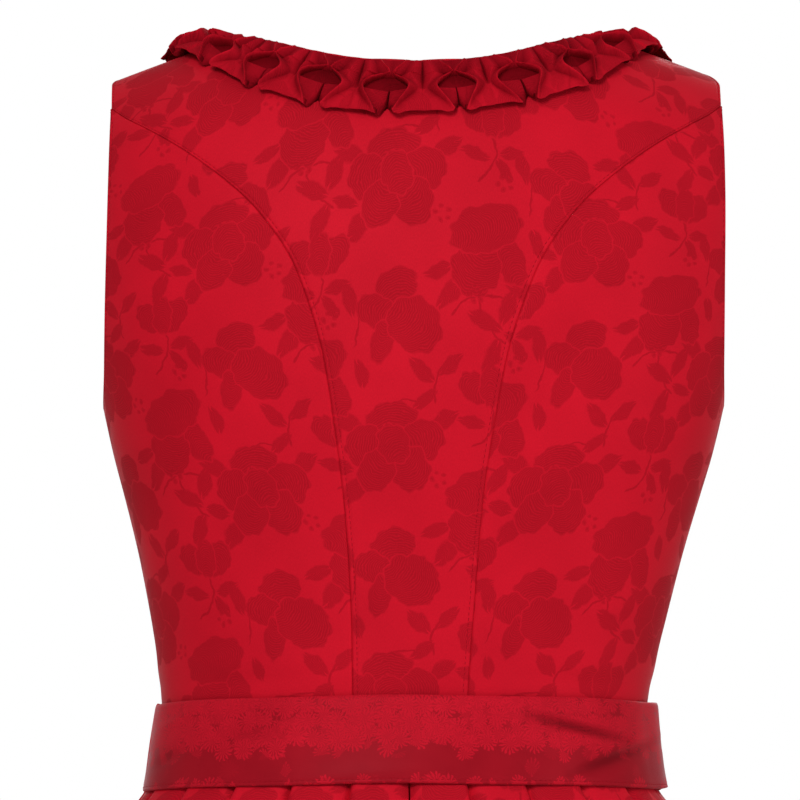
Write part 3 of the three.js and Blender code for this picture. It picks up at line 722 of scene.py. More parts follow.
# Soft folds of the bodice: place across, height, reach across, reach in height, rise.
SOFT = [
    (-104, -350, 30, 8, 1.1), (-92, -360, 36, 5, -0.9), (-70, -338, 26, 7, 0.5),
    (98, -351, 32, 7, 1.0), (88, -360, 36, 5, -0.8), (12, -356, 30, 6, 0.4), (-118, -216, 18, 26, 0.9),
    (122, -230, 16, 30, 0.8), (-62, -318, 30, 10, 0.35), (118, -300, 12, 34, 0.7),
    (-124, -292, 11, 30, 0.7), (60, -300, 22, 14, 0.3), (-20, -250, 30, 40, 0.35), (40, -170, 40, 30, 0.3),
]


def soft_folds(x, z):
    total = 0.35 * np.sin(x / 31.0 + z / 57.0) + 0.25 * np.sin(z / 23.0 - x / 41.0)
    for at_x, at_z, wide, tall, rise in SOFT:
        total = total + rise * bump(x, at_x, wide) * bump(z, at_z, tall)
    return total


def blend(a, b, t):
    return a * (1 - t) + b * t


def hem_sink(d):
    """How a turned edge rolls in."""
    return -0.8 * np.exp(-d / 0.5)


def stitch_dip(d):
    """How cloth dips under a line of stitches along an edge."""
    return -0.32 * bump(d, STITCH_IN, 0.6) + 0.16 * bump(d, 1.5, 0.9)


stitches = []


def stitch_line(path, normals, pitch=2.9, length=2.0, radius=0.24):
    """Adds a row of stitches along a path of points."""
    along = run_lengths(path)
    starts = np.arange(0.4, along[-1] - length, pitch)

    def at(s, values=path):
        return np.stack([np.interp(s, along, values[:, k]) for k in range(3)], -1)

    a, b, up = at(starts), at(starts + length), at(starts, normals)
    ahead = (b - a) / np.linalg.norm(b - a, axis=1)[:, None]
    side = np.cross(up, ahead)
    corners = [a - up * 0.1, b - up * 0.1]
    for way in (side, up, -side):
        corners += [blend(a, b, t) + way * radius for t in (0.2, 0.8)]
    points = np.stack(corners, 1).reshape(-1, 3)
    shape = np.array([
        [0, 4, 2], [0, 6, 4], [1, 3, 5], [1, 5, 7], [2, 4, 5], [2, 5, 3], [4, 6, 7], [4, 7, 5],
        [2, 3, 1], [2, 1, 0], [6, 0, 1], [6, 1, 7],
    ])
    faces = (shape[None] + 8 * np.arange(len(starts))[:, None, None]).reshape(-1, 3)
    stitches.append((points, faces))


def panel_half(left, right, grain, offset, count, sides, stitched, side, lift, neck=False):
    """A panel ruled between two edges in form coordinates, as a grid. sides tells which ends are rolled
    edges, stitched where each row's ends are stitched, and side is -1 for the wearer's right. grain is the
    turn at which the cloth's threads run down, offset the pattern's place, and lift the cloth's relief."""
    ends = on_form(*left), on_form(*right)
    middle = on_form(blend(left[0], right[0], 0.5), blend(left[1], right[1], 0.5))
    length = np.linalg.norm(ends[0] - middle, axis=-1) + np.linalg.norm(ends[1] - middle, axis=-1)
    length = np.maximum(length, 0.4)
    at = spaced(length, count, FINE)
    t = at / length[:, None]
    phi, v = [blend(left[k][:, None], right[k][:, None], t) for k in (0, 1)]
    points, normals = form_points(phi, v)
    raised = np.zeros_like(t)
    for edge, d, sewn in zip(sides, (at, length[:, None] - at), stitched):
        if edge:
            raised += hem_sink(d) + stitch_dip(d) * np.asarray(sewn, float)[:, None]
    if neck:
        raised += hem_sink(neck_distance(np.abs(points[..., 0]), v))
    mirror = np.array([side, 1, 1])
    points, normals = points * mirror, normals * mirror
    raised = raised + lift(points[..., 0], points[..., 2])
    points = points + normals * raised[..., None]
    grain_line = arc(np.full_like(phi, grain), v)
    uv = np.stack([side * (arc(phi, v) - grain_line) + offset[0], offset[1] - np.abs(v)], -1)
    column = FINE.index(STITCH_IN) + 1
    for which, sewn in zip((column, -1 - column), stitched):
        rows = np.flatnonzero(np.asarray(sewn) > 0.5)
        if len(rows) > 3:
            stitch_line(points[rows, which], normals[rows, which])
    return points, normals, uv


def seam_rows(table, count):
    """Heights down a seam, evenly spaced along it."""
    table = np.asarray(table, float)
    z = np.linspace(table[0, 0], WAIST, 500)
    along = run_lengths(np.stack([smooth(table, z, 1), z], -1))
    return np.interp(np.linspace(0, along[-1], count), along, z)


def rounded_tip(v, side):
    """How far the corner between the shoulder and the armhole is rounded off, more on the wearer's right."""
    depth, reach = (4.5, 20.0) if side > 0 else (10.5, 29.0)
    return depth * np.maximum(0, 1 - np.abs(v) / reach) ** 1.6


def seam_edges(table, z, front=False):
    """A seam's two edges in form coordinates, a hair apart."""
    return [place(smooth(table, z, 1) + way * SEAM_HALF, z, front) for way in (-1, 1)]


NECK_ROWS, ROWS = 46, 150
SHOULDER_TIP = 165.6
back_z = seam_rows(BACK_SEAM, ROWS)
inner_seam, outer_seam = seam_edges(BACK_SEAM, back_z)
fan = np.linspace(0, 1, NECK_ROWS, endpoint=False)
edge_x, edge_v = neck_edge(ridge_turn * (1 - fan))
edge_v = np.maximum(edge_v, SEAM_HALF)
neck_bottom = NECK["level"] + NECK["back"]
centre_v = blend(neck_bottom, place(0.0, WAIST)[1], np.linspace(0, 1, ROWS) ** 1.25)
inner = (
    np.concatenate([turn_of(edge_x, height(edge_x, edge_v)), np.zeros(ROWS)]),
    np.concatenate([edge_v, centre_v]),
)
tip_v = blend(SEAM_HALF, inner_seam[1][0], fan)


def back_outer(side):
    """The back centre's edge along the shoulder's tip and the seam."""
    tip_x = blend(SHOULDER_TIP, smooth(BACK_SEAM, back_z[0], 1) - SEAM_HALF, fan) - rounded_tip(tip_v, side)
    turns = turn_of(tip_x, height(tip_x, tip_v))
    return np.concatenate([turns, inner_seam[0]]), np.concatenate([tip_v, inner_seam[1]])


sewn = np.ones(NECK_ROWS + ROWS)
halves = [
    panel_half(
        inner, back_outer(side), 0.0, (12, 30), 44, (False, True), (0 * sewn, sewn), side, soft_folds,
        neck=True,
    )
    for side, _ in SIDES
]


def open_centre(halves):
    """Joins two halves of the back at the middle, below the neck edge."""
    rows, columns = halves[0][0].shape[:2]
    index = np.arange(rows * columns).reshape(rows, columns)
    other = index + rows * columns
    other[NECK_ROWS:, 0] = index[NECK_ROWS:, 0]
    parts = [np.concatenate([h[k].reshape(rows * columns, -1) for h in halves]) for k in range(3)]
    faces = np.concatenate([grid_faces(index), grid_faces(other, flip=True)])
    return (*parts, faces)


def side_panels(word, z, seam, armhole, grain, offset, count):
    """The side panels of the back or the front, each from its seam to the armhole and the side."""
    phi, v = place(smooth(FORM, z, 1), z, word == "front")
    side_seam = np.full_like(phi, math.pi / 2 - SEAM_TURN), v
    on_armhole = z > UNDERARM
    edge = [np.where(on_armhole, a, b) for a, b in zip(armhole, side_seam)]
    for side, hand in SIDES:
        sheet = panel_half(
            seam, edge, grain, (offset[0] * side + offset[1], offset[2]), count, (True, True),
            (0 * z, on_armhole), side, soft_folds,
        )
        dress_sheet(f"{word}_side_{hand}", as_sheet(*sheet))


dress_sheet("back_centre", open_centre(halves))
hole = place(smooth(BACK_ARMHOLE, back_z, 1), back_z)
side_panels("back", back_z, outer_seam, hole, 0.75, (37, 20, 52), 34)

front_z = seam_rows(FRONT_SEAM, 110)
front_in, front_out = seam_edges(FRONT_SEAM, front_z, True)
hole = place(smooth(FRONT_ARMHOLE, front_z, 1) + 0.4, front_z, True)
side_panels("front", front_z, front_out, hole, 0.9, (51, 0, 20), 26)


def front_half(past, side, lap):
    """A front from its shoulder to the waist; its centre edge passes the middle by past."""
    rows, neck_rows = 60, 90
    total = rows + len(front_z)
    z = np.linspace(FRONT_ARMHOLE[0][0], FRONT_SEAM[0][0], rows, endpoint=False)
    hole = place(smooth(FRONT_ARMHOLE, z, 1), z, True)
    hole[1][0] = -SEAM_HALF
    hole_x = smooth(FRONT_ARMHOLE, z, 1) - rounded_tip(hole[1], side)
    hole = turn_of(hole_x, height(hole_x, hole[1])), hole[1]
    outer = [np.concatenate([hole[k], front_in[k]]) for k in (0, 1)]
    lowest = math.pi + math.asin((past / NECK["half"]) ** (NECK["front_square"] / 2))
    x, v = neck_edge(np.linspace(ridge_turn + 0.004, lowest, neck_rows))
    v = np.minimum(v, -SEAM_HALF)
    down = np.linspace(v[-1], -place(past, WAIST)[1], total - neck_rows + 1)[1:]
    inner = (
        np.concatenate([turn_of(x, height(x, v)), turn_of(np.full_like(down, -past), height(0, down))]),
        np.concatenate([v, down]),
    )
    edges = np.concatenate([np.ones(neck_rows), np.zeros(total - neck_rows)])
    return as_sheet(*panel_half(
        inner, outer, 0.0, (30 * side, 70), 44, (True, True), (1 - edges, np.ones(total)), side,
        lambda px, pz: soft_folds(px, pz) + lap(side * px),
    ))


def lap_lift(x):
    return LAP_LIFT * (1 - ease((x - 10) / 9))


def lap_sink(x):
    return -UNDER_SINK * (1 - ease((x - 2) / 10))


dress_sheet("front_centre_left", front_half(UNDERLAP, 1, lap_sink))
dress_sheet("front_centre_right", front_half(LAP, -1, lap_lift))

# The ruche: a strip of box pleats, each pinched together by a tack. Rows run from the top edge (0) to the
# bottom edge (1). Each has the places of its columns, from a tack's line (0) to the valley between two
# units (1), and how far they stand out.
UNIT = [
    (0, (0, 0.08, 0.2, 0.3, 0.36, 0.4, 0.43, 0.47, 0.62, 0.8, 0.95, 1),
     (1.3, 1.2, 1.3, 1.4, 1.6, 2, 2.3, 1.8, 1.5, 1.8, 1.3, 0.9)),
    (0.12, (0, 0.05, 0.12, 0.18, 0.22, 0.25, 0.28, 0.33, 0.5, 0.75, 0.94, 1),
     (2, 1.9, 2.1, 2.4, 2.9, 3.5, 4, 2.8, 2.2, 3.2, 1.6, 0.5)),
    (0.22, (0, 0.02, 0.05, 0.08, 0.1, 0.12, 0.14, 0.19, 0.42, 0.7, 0.93, 1),
     (3, 3, 3.2, 3.6, 4.1, 4.7, 5.2, 3.6, 1.8, 4, 2, 0.4)),
    (0.3, (0, 0.01, 0.02, 0.03, 0.04, 0.055, 0.075, 0.12, 0.36, 0.68, 0.92, 1),
     (3.6, 3.6, 3.7, 3.9, 4.2, 4.6, 4.9, 3.2, 1, 4.4, 2, 0.4)),
    (0.345, (0, 0.03, 0.07, 0.12, 0.21, 0.18, 0.21, 0.25, 0.46, 0.72, 0.93, 1),
     (0.9, 0.9, 0.9, 0.9, 1, 3.8, 5.2, 4.6, 2.2, 4.4, 2, 0.4)),
    (0.43, (0, 0.03, 0.14, 0.3, 0.48, 0.44, 0.475, 0.515, 0.7, 0.83, 0.94, 1),
     (0.7, 0.7, 0.7, 0.8, 1, 4.8, 6.4, 5.7, 3.9, 3.9, 2, 0.5)),
    (0.52, (0, 0.03, 0.2, 0.43, 0.66, 0.6, 0.635, 0.68, 0.84, 0.9, 0.96, 1),
     (0.6, 0.7, 0.9, 1.1, 1.4, 5.4, 7.1, 6.4, 3.6, 2.8, 1.8, 1)),
    (0.57, (0, 0.03, 0.2, 0.45, 0.68, 0.645, 0.67, 0.715, 0.88, 0.92, 0.96, 1),
     (0.5, 0.8, 1.1, 1.5, 2.4, 5.8, 7.2, 6.3, 2.9, 2.7, 2.3, 1.9)),
    (0.61, (0, 0.03, 0.2, 0.43, 0.63, 0.65, 0.67, 0.715, 0.86, 0.91, 0.96, 1),
     (0.4, 1.9, 2.6, 3.4, 4.2, 5.8, 7.1, 6.2, 2.9, 3.1, 3, 2.7)),
    (0.71, (0, 0.035, 0.18, 0.36, 0.535, 0.56, 0.585, 0.63, 0.73, 0.84, 0.93, 1),
     (0.3, 2.3, 3, 3.8, 4.6, 6.1, 7.1, 6.2, 3.4, 3.9, 3.9, 3.8)),
    (0.83, (0, 0.05, 0.15, 0.27, 0.375, 0.405, 0.43, 0.465, 0.54, 0.72, 0.9, 1),
     (0.3, 2, 2.7, 3.4, 4.2, 5.7, 6.5, 5.8, 3.9, 4.3, 4.2, 4.1)),
    (0.93, (0, 0.08, 0.14, 0.2, 0.255, 0.28, 0.3, 0.335, 0.38, 0.65, 0.88, 1),
     (0.3, 1.3, 2, 2.8, 3.7, 4.9, 5.6, 5.2, 4.2, 4.3, 4.1, 4)),
    (1, (0, 0.1, 0.13, 0.16, 0.19, 0.21, 0.225, 0.25, 0.29, 0.6, 0.85, 1),
     (0.2, 0.7, 1.1, 1.7, 2.8, 3.9, 4.6, 4.5, 4.3, 4.1, 3.9, 3.9)),
]
# Painted shade and painted highlight of each column above the tack, in the hollow and in the lower half:
# darker in the slits and hollows where shade falls, lighter on the lit lips.
PAINTED_SHADES = [
    (0.0, [0.50, 0.55, 0.6, 0.6, 0.65, 0.85, 1.1, 0.7, 0.6, 0.85, 0.7, 0.35]),
    (0.30, [0.55, 0.6, 0.7, 0.8, 0.9, 1.0, 1.15, 0.65, 0.42, 0.95, 0.7, 0.3]),
    (0.345, [0.30, 0.3, 0.3, 0.32, 0.35, 0.7, 1.15, 0.85, 0.6, 0.95, 0.7, 0.3]),
    (0.57, [0.42, 0.45, 0.45, 0.42, 0.4, 0.65, 1.2, 0.85, 0.6, 0.7, 0.75, 0.6]),
    (0.61, [0.15, 0.75, 0.8, 0.75, 0.6, 0.7, 1.2, 0.8, 0.6, 0.85, 0.95, 0.95]),
    (0.83, [0.12, 0.7, 0.75, 0.7, 0.6, 0.75, 1.2, 0.75, 0.62, 0.95, 1.05, 1.05]),
    (1.0, [0.12, 0.3, 0.4, 0.5, 0.6, 0.8, 1.2, 1.0, 0.95, 1.0, 1.0, 1.0]),
]
RUCHE = {"top": 2.0, "tall": 25.5, "pitch": 30.6, "first": 12.2, "lift": 0.5, "ends": 11.0}
unit_t, unit_w, unit_h = (np.array([row[k] for row in UNIT], float) for k in range(3))
ruche_t = np.unique(np.concatenate([np.linspace(0, 1, 22), unit_t]))


def split_between(values, parts=2):
    """Puts evenly spaced values between neighbours along the last axis."""
    steps = np.arange(parts) / parts
    first, second = values[..., :-1, None], values[..., 1:, None]
    inside = (first + (second - first) * steps).reshape(*values.shape[:-1], -1)
    return np.concatenate([inside, values[..., -1:]], -1)


def over_rows(t, values):
    """The columns of a table at the ruche's own rows."""
    return np.stack([np.interp(ruche_t, t, column) for column in np.asarray(values, float).T], -1)


# The columns' painted shade and painted highlight at the ruche's own rows.
unit_painted_shades = split_between(over_rows([row[0] for row in PAINTED_SHADES], [row[1] for row in PAINTED_SHADES]))


def half_unit(mouth, ridge_wide, proud):
    """One half of a pleat, with its mouth and its upper folds wider or narrower than usual."""
    table = np.column_stack([-unit_t, unit_w])
    rows_w = np.stack([smooth(table, -ruche_t, k + 1) for k in range(unit_w.shape[1])], -1)
    rows_h = over_rows(unit_t, unit_h)
    share = np.where(ruche_t < 0.29, ridge_wide, mouth)[:, None]
    rows_w = rows_w * (share + (1 - share) * rows_w)
    return split_between(rows_w), split_between(rows_h * proud)


neck_along = run_lengths(np.stack([neck_x, neck_v], -1))
neck_along -= neck_along[len(neck_along) // 2]
ahead_x, ahead_v = np.gradient(neck_x, neck_along), np.gradient(neck_v, neck_along)


def on_ruche(s, down, out):
    """Places on the ruche: s along the neck edge, down from the edge over the cloth, out from it."""
    x, v = np.interp(s, neck_along, neck_x), np.interp(s, neck_along, neck_v)
    ax, av = np.interp(s, neck_along, ahead_x), np.interp(s, neck_along, ahead_v)
    x, v = x - av * down, v + ax * down
    lap = np.where((x < 0) & (v < NECK["level"]), lap_lift(np.abs(x)), 0)
    return form_points(turn_of(x, height(x, v)), v, RUCHE["lift"] + lap + out)


def turned_normals(points):
    turned = np.cross(np.gradient(points, axis=1), np.gradient(points, axis=0))
    return turned / (np.linalg.norm(turned, axis=-1, keepdims=True) + 1e-9)


def ruche():
    """The ruche's grid of points, with normals, coordinates and a painted shade or painted highlight for
    each point.
    """
    ahead = (neck_x < RUCHE["ends"]) & (neck_v < NECK["level"]) & (neck_along > 0)
    reach = float(neck_along[ahead].min())
    pitch = RUCHE["pitch"]
    first = int(math.ceil((-reach - RUCHE["first"] + pitch / 2) / pitch))
    last = int(math.floor((reach - RUCHE["first"] - pitch / 2) / pitch))
    shoulder = float(np.interp(ridge_turn, neck_turns, neck_along))
    tacks = RUCHE["first"] + pitch * np.arange(first, last + 1)
    strips = across, rises, off, painted_shades = [], [], [], []
    for tack in tacks:
        proud = rng.uniform(1.0, 1.2) + 0.55 * bump(abs(tack), shoulder, 50)
        for side in (-1, 1):
            # On the wearer's left the folds lean, with one wide lip and one narrow one.
            narrow, wide = ((1.35, 1.7) if side > 0 else (0.25, 0.6)) if tack > 0 else (0.5, 1.4)
            mouth, ridge_wide = rng.uniform(narrow, wide), rng.uniform(0.85, 1.25)
            w, h = half_unit(mouth, ridge_wide, proud * rng.uniform(0.92, 1.08))
            skip = 1 if across else 0
            for strip, values in zip(strips, (tack + side * w * pitch / 2, h, w, unit_painted_shades)):
                strip.append(values[:, ::side][:, skip:])
    # Both ends are plain, on four columns each, with an even painted shade of 0.9.
    plain = np.ones((len(ruche_t), 4))
    start = np.linspace(-reach, across[0][0, 0], 5)[:-1]
    finish = np.linspace(across[-1][0, -1], reach, 5)[1:]
    valley = np.maximum(np.interp(ruche_t, unit_t, unit_h[:, -1])[:, None], 2.2)
    sides = (start, finish), (valley, valley), (1, 1), (0.9, 0.9)
    across, rises, off, painted_shades = (
        np.concatenate([a * plain, *strip, b * plain], 1) for strip, (a, b) in zip(strips, sides)
    )
    down = np.broadcast_to((RUCHE["top"] + RUCHE["tall"] * ruche_t)[:, None], across.shape)
    # The lower edge steps up at each slit, and its corners dip.
    late = ruche_t[:, None] ** 8
    down = down + late * (1.5 * bump(off, 0.3, 0.16) - 3.2 * (1 - ease(off / 0.2)))
    shift = np.interp(across, tacks, rng.uniform(-1.3, 1.3, len(tacks)))
    down = down + shift * np.sin(math.pi * ruche_t[:, None])
    sway = np.interp(across, tacks, rng.uniform(-2.2, 2.2, len(tacks)))
    across = across + sway * (ruche_t[:, None] - 0.35)
    wave = 0.5 * np.sin(across / 9.1 + down / 6.0) * np.sin(across / 23.0) * 0.35
    rises = np.maximum(rises + wave * np.minimum(rises / 2, 1), 0.1)
    down = down + 0.7 * np.sin(across / 17.0) * ruche_t[:, None] ** 3
    # The edges are turned in, above and below: further down, less far out, and the painted shade or painted
    # highlight they get, darker under the lower edge.
    top = (0, -1.9, 1), (-0.25, -0.6, 1)
    low = (0.35, -0.4, 1.05), (0.1, -0.9, 0.5), (-2.2, -1.1, 0.3)
    down = np.concatenate([*(down[:1] + d for d, _, _ in top), down, *(down[-1:] + d for d, _, _ in low)])
    rises = np.concatenate([
        *(np.maximum(rises[:1] + r, 0.05) for _, r, _ in top), rises,
        *(np.maximum(rises[-1:] + r, 0.03) for _, r, _ in low),
    ])
    across = np.concatenate([*(across[:1] for _ in top), across, *(across[-1:] for _ in low)])
    painted_shades = np.concatenate([
        *(painted_shades[:1] * s for _, _, s in top), painted_shades, *(painted_shades[-1:] * s for _, _, s in low),
    ])
    points, _ = on_ruche(across, down, rises)
    uv = np.stack([across * 1.6 + 7, 61 - down * 1.15 - rises * 0.9], -1)
    return points, turned_normals(points), uv, painted_shades


# Each point of the ruche gets its painted shade or painted highlight.
*ruche_grid, painted_shades = ruche()
add_sheet("neck_ruche", as_sheet(*ruche_grid), RUCHE_WALL, trim_cloth, painted_shades, 24)


# Buttons covered with cloth


def covered_button(z, turn):
    """A low dome with a rounded rim on a small shank of gathered cloth."""
    radius, rise = split_between(np.array([
        (0, 3.2, 5.0, 5.6, 5.7, 5.3, 4.4, 3.0, 1.4, 0), (0.2, 0.2, 0.5, 1.2, 1.9, 2.7, 3.3, 3.7, 3.95, 4.0),
    ]))
    angles = np.linspace(0, 2 * math.pi, 36, endpoint=False)
    (centre,), (normal,) = form_points(np.array([0.0]), np.array([-float(place(0.01, z)[1])]), LAP_LIFT)
    across = np.array([1.0, 0, 0])
    up = np.cross(normal, across)
    gather = 1 + 0.02 * np.cos(9 * angles + turn) * (radius[:, None] > 4)
    ring_x, ring_z = radius[:, None] * gather * np.cos(angles), radius[:, None] * gather * np.sin(angles)
    points = centre + ring_x[..., None] * across + ring_z[..., None] * up + rise[:, None, None] * normal
    uv = np.stack([ring_x + 40 * turn, ring_z + 11 * turn], -1)
    rows, columns = points.shape[:2]
    index = np.arange(rows * columns).reshape(rows, columns)
    faces = grid_faces(np.concatenate([index, index[:, :1]], 1))
    return points.reshape(-1, 3), faces, uv.reshape(-1, 2)


BUTTONS, TOP_BUTTON, BUTTON_PITCH = 6, -237, 22
for k in range(BUTTONS):
    points, faces, uv = covered_button(TOP_BUTTON - BUTTON_PITCH * k, k + 0.4)
    dome = make_object(f"dirndl_button_{k + 1}", points, faces, uv, button_cloth)
    add_piece([f"button_{k + 1}"], dome)


# Skirt and apron, on rings. A share runs from the centre back (0) through the wearer's left to the back (1).


def ring_curve(table, phi, z):
    back, front = smooth(table, z, 2), smooth(table, z, 3)
    square = 2 / smooth(table, z, 4)
    x = smooth(table, z, 1) * power(np.sin(phi), square)
    y = np.where(np.cos(phi) > 0, back, front) * power(np.cos(phi), square)
    return np.stack([x, y, z + 0 * phi], -1)


def ring(table, share, z):
    """Places at shares of the way round, a row per height, with outward normals and the length round."""
    fine = np.linspace(0, 2 * math.pi, 1081)
    high = np.asarray(z, float)[:, None]
    share = np.broadcast_to(np.asarray(share, float), (len(z), np.shape(share)[-1]))
    along = run_lengths(ring_curve(table, fine[None, :], high))
    whole, part = np.floor(share), share - np.floor(share)
    phi = np.stack([np.interp(p * a[-1], a, fine) for p, a in zip(part, along)]) + 2 * math.pi * whole
    points = ring_curve(table, phi, high)
    round_ = ring_curve(table, phi + 0.01, high) - ring_curve(table, phi - 0.01, high)
    down = ring_curve(table, phi, high - 1) - ring_curve(table, phi, high + 1)
    normals = np.cross(round_, down)
    normals /= np.linalg.norm(normals, axis=-1, keepdims=True)
    return points, normals, along[:, -1:]


def crease(x, z, start, end, width):
    """1 on a line between two places of the back, falling off softly to its sides."""
    ax, az = start
    bx, bz = end
    t = np.clip(((x - ax) * (bx - ax) + (z - az) * (bz - az)) / ((bx - ax) ** 2 + (bz - az) ** 2), 0, 1)
    off = np.hypot(x - ax - t * (bx - ax), z - az - t * (bz - az))
    return np.exp(-((off / width) ** 2)) * (0.25 + 0.75 * np.sin(math.pi * np.clip(t, 0.05, 0.95)))


# The skirt, in knife pleats that turn away from the centre back and open towards the hem.
PLEAT = (0.01, 0.03, 0.07, 0.14, 0.25, 0.37, 0.5, 0.62, 0.74, 0.84, 0.9, 0.94, 0.965, 0.985)
PLEAT_CLOTH = 95.0
pleat_size = rng.uniform(0.8, 1.12, PLEATS + 1)
pleat_lean = rng.uniform(-0.12, 0.12, PLEATS + 1)


def skirt_panel(start, end, side):
    """A panel of the skirt between two of its pleats, counted from the centre back."""
    at = np.concatenate([[k + w for w in PLEAT] for k in range(start, end)] + [[end - 0.005]])
    z = np.concatenate([np.linspace(WAIST - 0.3, -445, 16)[:-1], np.linspace(-445, -1090, 46)])
    w = (at - np.floor(at))[None, :]
    which = np.floor(at).astype(int) + (0 if side > 0 else 7)
    fold, opened = smooth(SKIRT, z, 5)[:, None], smooth(SKIRT, z, 6)[:, None]
    flat_top = np.minimum(w / 0.16, 1) ** 0.6
    knife = np.where(w < 0.93, flat_top * (0.75 + 0.25 * w), np.maximum(0, (0.985 - w) / 0.055))
    lean = pleat_lean[which % PLEATS][None, :] * opened
    wave = 0.5 - 0.5 * np.cos(2 * math.pi * np.clip(w + lean * np.sin(math.pi * w), 0, 1))
    crest = knife * (1 - opened) + wave * opened * blend(1, pleat_size[which % PLEATS], opened * 0.5)
    points, normals, _ = ring(SKIRT, at / PLEATS, z)
    sag = 1.4 * opened * np.sin(at[None, :] * 1.9 + z[:, None] / 60.0)
    points = points - normals * (fold * (1 - crest) + sag * 0.5)[..., None]
    points = points * np.array([side, 1, 1])
    run = run_lengths(points)
    begin = np.minimum(np.arange(len(at)) // len(PLEAT), end - start - 1) * len(PLEAT)
    cloth = PLEAT_CLOTH * np.floor(at - 0.001)[None, :] + run - run[:, begin]
    uv = np.stack([side * cloth, z[:, None] + 0 * at[None, :]], -1)
    return points, turned_normals(points) * side, uv


for word, start, end in (("back", 0, PLEATS // 4), ("front", PLEATS // 4, PLEATS // 2)):
    for side, hand in SIDES:
        dress_sheet(f"skirt_{word}_{hand}", as_sheet(*skirt_panel(start, end, side)))


# The apron's band and ties, the apron and its bow.
LAYER, BAND_LIFT, APRON_CLOTH = 1.8, 0.4, 1.3
# The folds of the tie behind: start, end, width, rise and painted shade along the fold, a painted highlight
# where it is below 0.
CREASES = [
    ((-62, -380), (-118, -392), 2.7, -1.1, 0.6), ((-64, -376), (-112, -387), 2.4, 1.0, 0),
    ((-66, -385), (-112, -396.5), 2.6, 0.7, -0.04), ((-86, -411), (-138, -391.5), 3.0, -1.1, 0.42),
    ((-90, -405), (-134, -388), 2.4, 0.9, 0), ((-104, -413), (-132, -402.5), 3.0, 0.6, -0.03),
    ((-46, -395), (-84, -402), 4.0, -0.4, 0.06), ((112, -376), (131, -384), 2.4, 0.7, 0),
    ((118, -396), (135, -405), 2.6, -0.7, 0.14), ((30, -377), (88, -374), 3.0, 0.35, 0),
    ((66, -391), (100, -388), 4.0, -0.4, 0.12), ((-20, -409), (60, -411), 3.0, 0.3, 0),
]


def band_strip(start, end, columns, lift, seed, stitched):
    """A strip of the band or of a tie between two shares of the way round, with the painted shade of its
    creases.
    """
    share = np.linspace(start, end, columns)
    tall = BAND_TOP - BAND_BOTTOM
    down = np.concatenate([
        [0, 0.15, 0.5, 1.0, 1.7, 2.6], np.linspace(4, tall - 7, 22),
        tall - np.array([5.2, 4.1, 3.4, 2.7, 2.0, 1.2, 0.6, 0.2, 0]),
    ])
    z = BAND_TOP - down
    points, normals, length = ring(OUTER, share, z)
    x, high = points[..., 0], z[:, None] + 0 * share
    roll = -0.95 * np.exp(-down / 1.1) - 0.75 * np.exp(-(tall - down) / 0.35)
    roll = roll - 0.22 * bump(down, tall - 2, 0.5)
    rise, painted_shading = roll[:, None] + 0 * share, np.ones_like(x)
    for a, b, width, raised, painted_crease_shade in CREASES:
        fold = np.where(points[..., 1] > 0, crease(x, high, a, b, width), 0)
        rise = rise + raised * fold
        # Painted shade darkens the colour along each crease, painted highlight lightens it where the value
        # is below 0.
        painted_shading = painted_shading * (1 - painted_crease_shade * fold)
    middle = np.sin(math.pi * np.clip(down / tall, 0, 1))[:, None]
    around = share[None, :] * length[:1]
    waves = 0.35 * np.sin(around / 37.0 + seed) + 0.2 * np.sin(around / 13.0 + seed * 2 + high / 9.0)
    edge = 0.5 * np.sin(around / 43.0 + seed * 3) + 0.25 * np.sin(around / 17.0 + seed)
    points = points + normals * (rise + middle * waves + lift(share) + APRON_CLOTH)[..., None]
    points[..., 2] += edge * (1 - middle)
    uv = np.stack([around + 90 * seed + 0 * high, high - BAND_BOTTOM + 0 * share], -1)
    if stitched:
        stitch_line(points[-5], normals[-5], pitch=3.0)
    return (points, normals, uv), painted_shading


def long_tie_lift(share):
    return BAND_LIFT + 2 * LAYER * (1 - ease((share - (1 - BAND_END)) / 0.05))


wrap_end = BOW["share"] + 0.012
strips = (
    ("apron_band", BAND_END, 1 - BAND_END, 240, lambda s: BAND_LIFT + 0 * s, 3, False),
    ("apron_tie_right", wrap_end, 0.996 - BAND_END, 90, lambda s: BAND_LIFT + LAYER + 0 * s, 2, False),
    ("apron_tie_left", wrap_end, 0.9994 + BAND_END, 420, long_tie_lift, 1, True),
)
for name, *settings in strips:
    grid, painted_shading = band_strip(*settings)
    apron_sheet(name, as_sheet(*grid), painted_shading=painted_shading)


def apron():
    z = np.concatenate([[BAND_BOTTOM - 0.5, BAND_BOTTOM - 3], np.linspace(-424, APRON_HEM, 70)])
    t = np.linspace(0, 1, APRON_FOLDS * 16 + 1)
    depth = blend(2.0, 12.0, ease((BAND_BOTTOM - z) / 320))[:, None]
    wander = 0.25 * np.sin(t * 31) + 0.02 * np.sin(z[:, None] / 90.0 + t * 17)
    wave = 0.5 - 0.5 * np.cos(2 * math.pi * (t * APRON_FOLDS + wander * np.minimum(1, 8 * t * (1 - t))))
    fine = 0.5 - 0.5 * np.cos(2 * math.pi * (t * APRON_FOLDS * 2.7 + 0.3))
    near = np.exp(-(BAND_BOTTOM - z) / 45.0)[:, None]
    uneven = 0.85 + 0.15 * np.sin(t * 23 + 1)
    points, normals, _ = ring(OUTER, blend(APRON_SIDE, 1 - APRON_SIDE, t), z)
    rise = APRON_CLOTH + 1.0 + depth * wave * uneven + 1.2 * near * fine
    points = points + normals * rise[..., None]
    uv = np.stack([z[:, None] + 0 * t, t[None, :] * 800 + 0 * z[:, None]], -1)
    return points, normals, uv


apron_sheet("apron_skirt", as_sheet(*apron()))

KNOT = {"half": 15, "tall": 21, "thick": 13}
KNOT_LIFT = BAND_LIFT + 2 * LAYER + APRON_CLOTH + 0.4


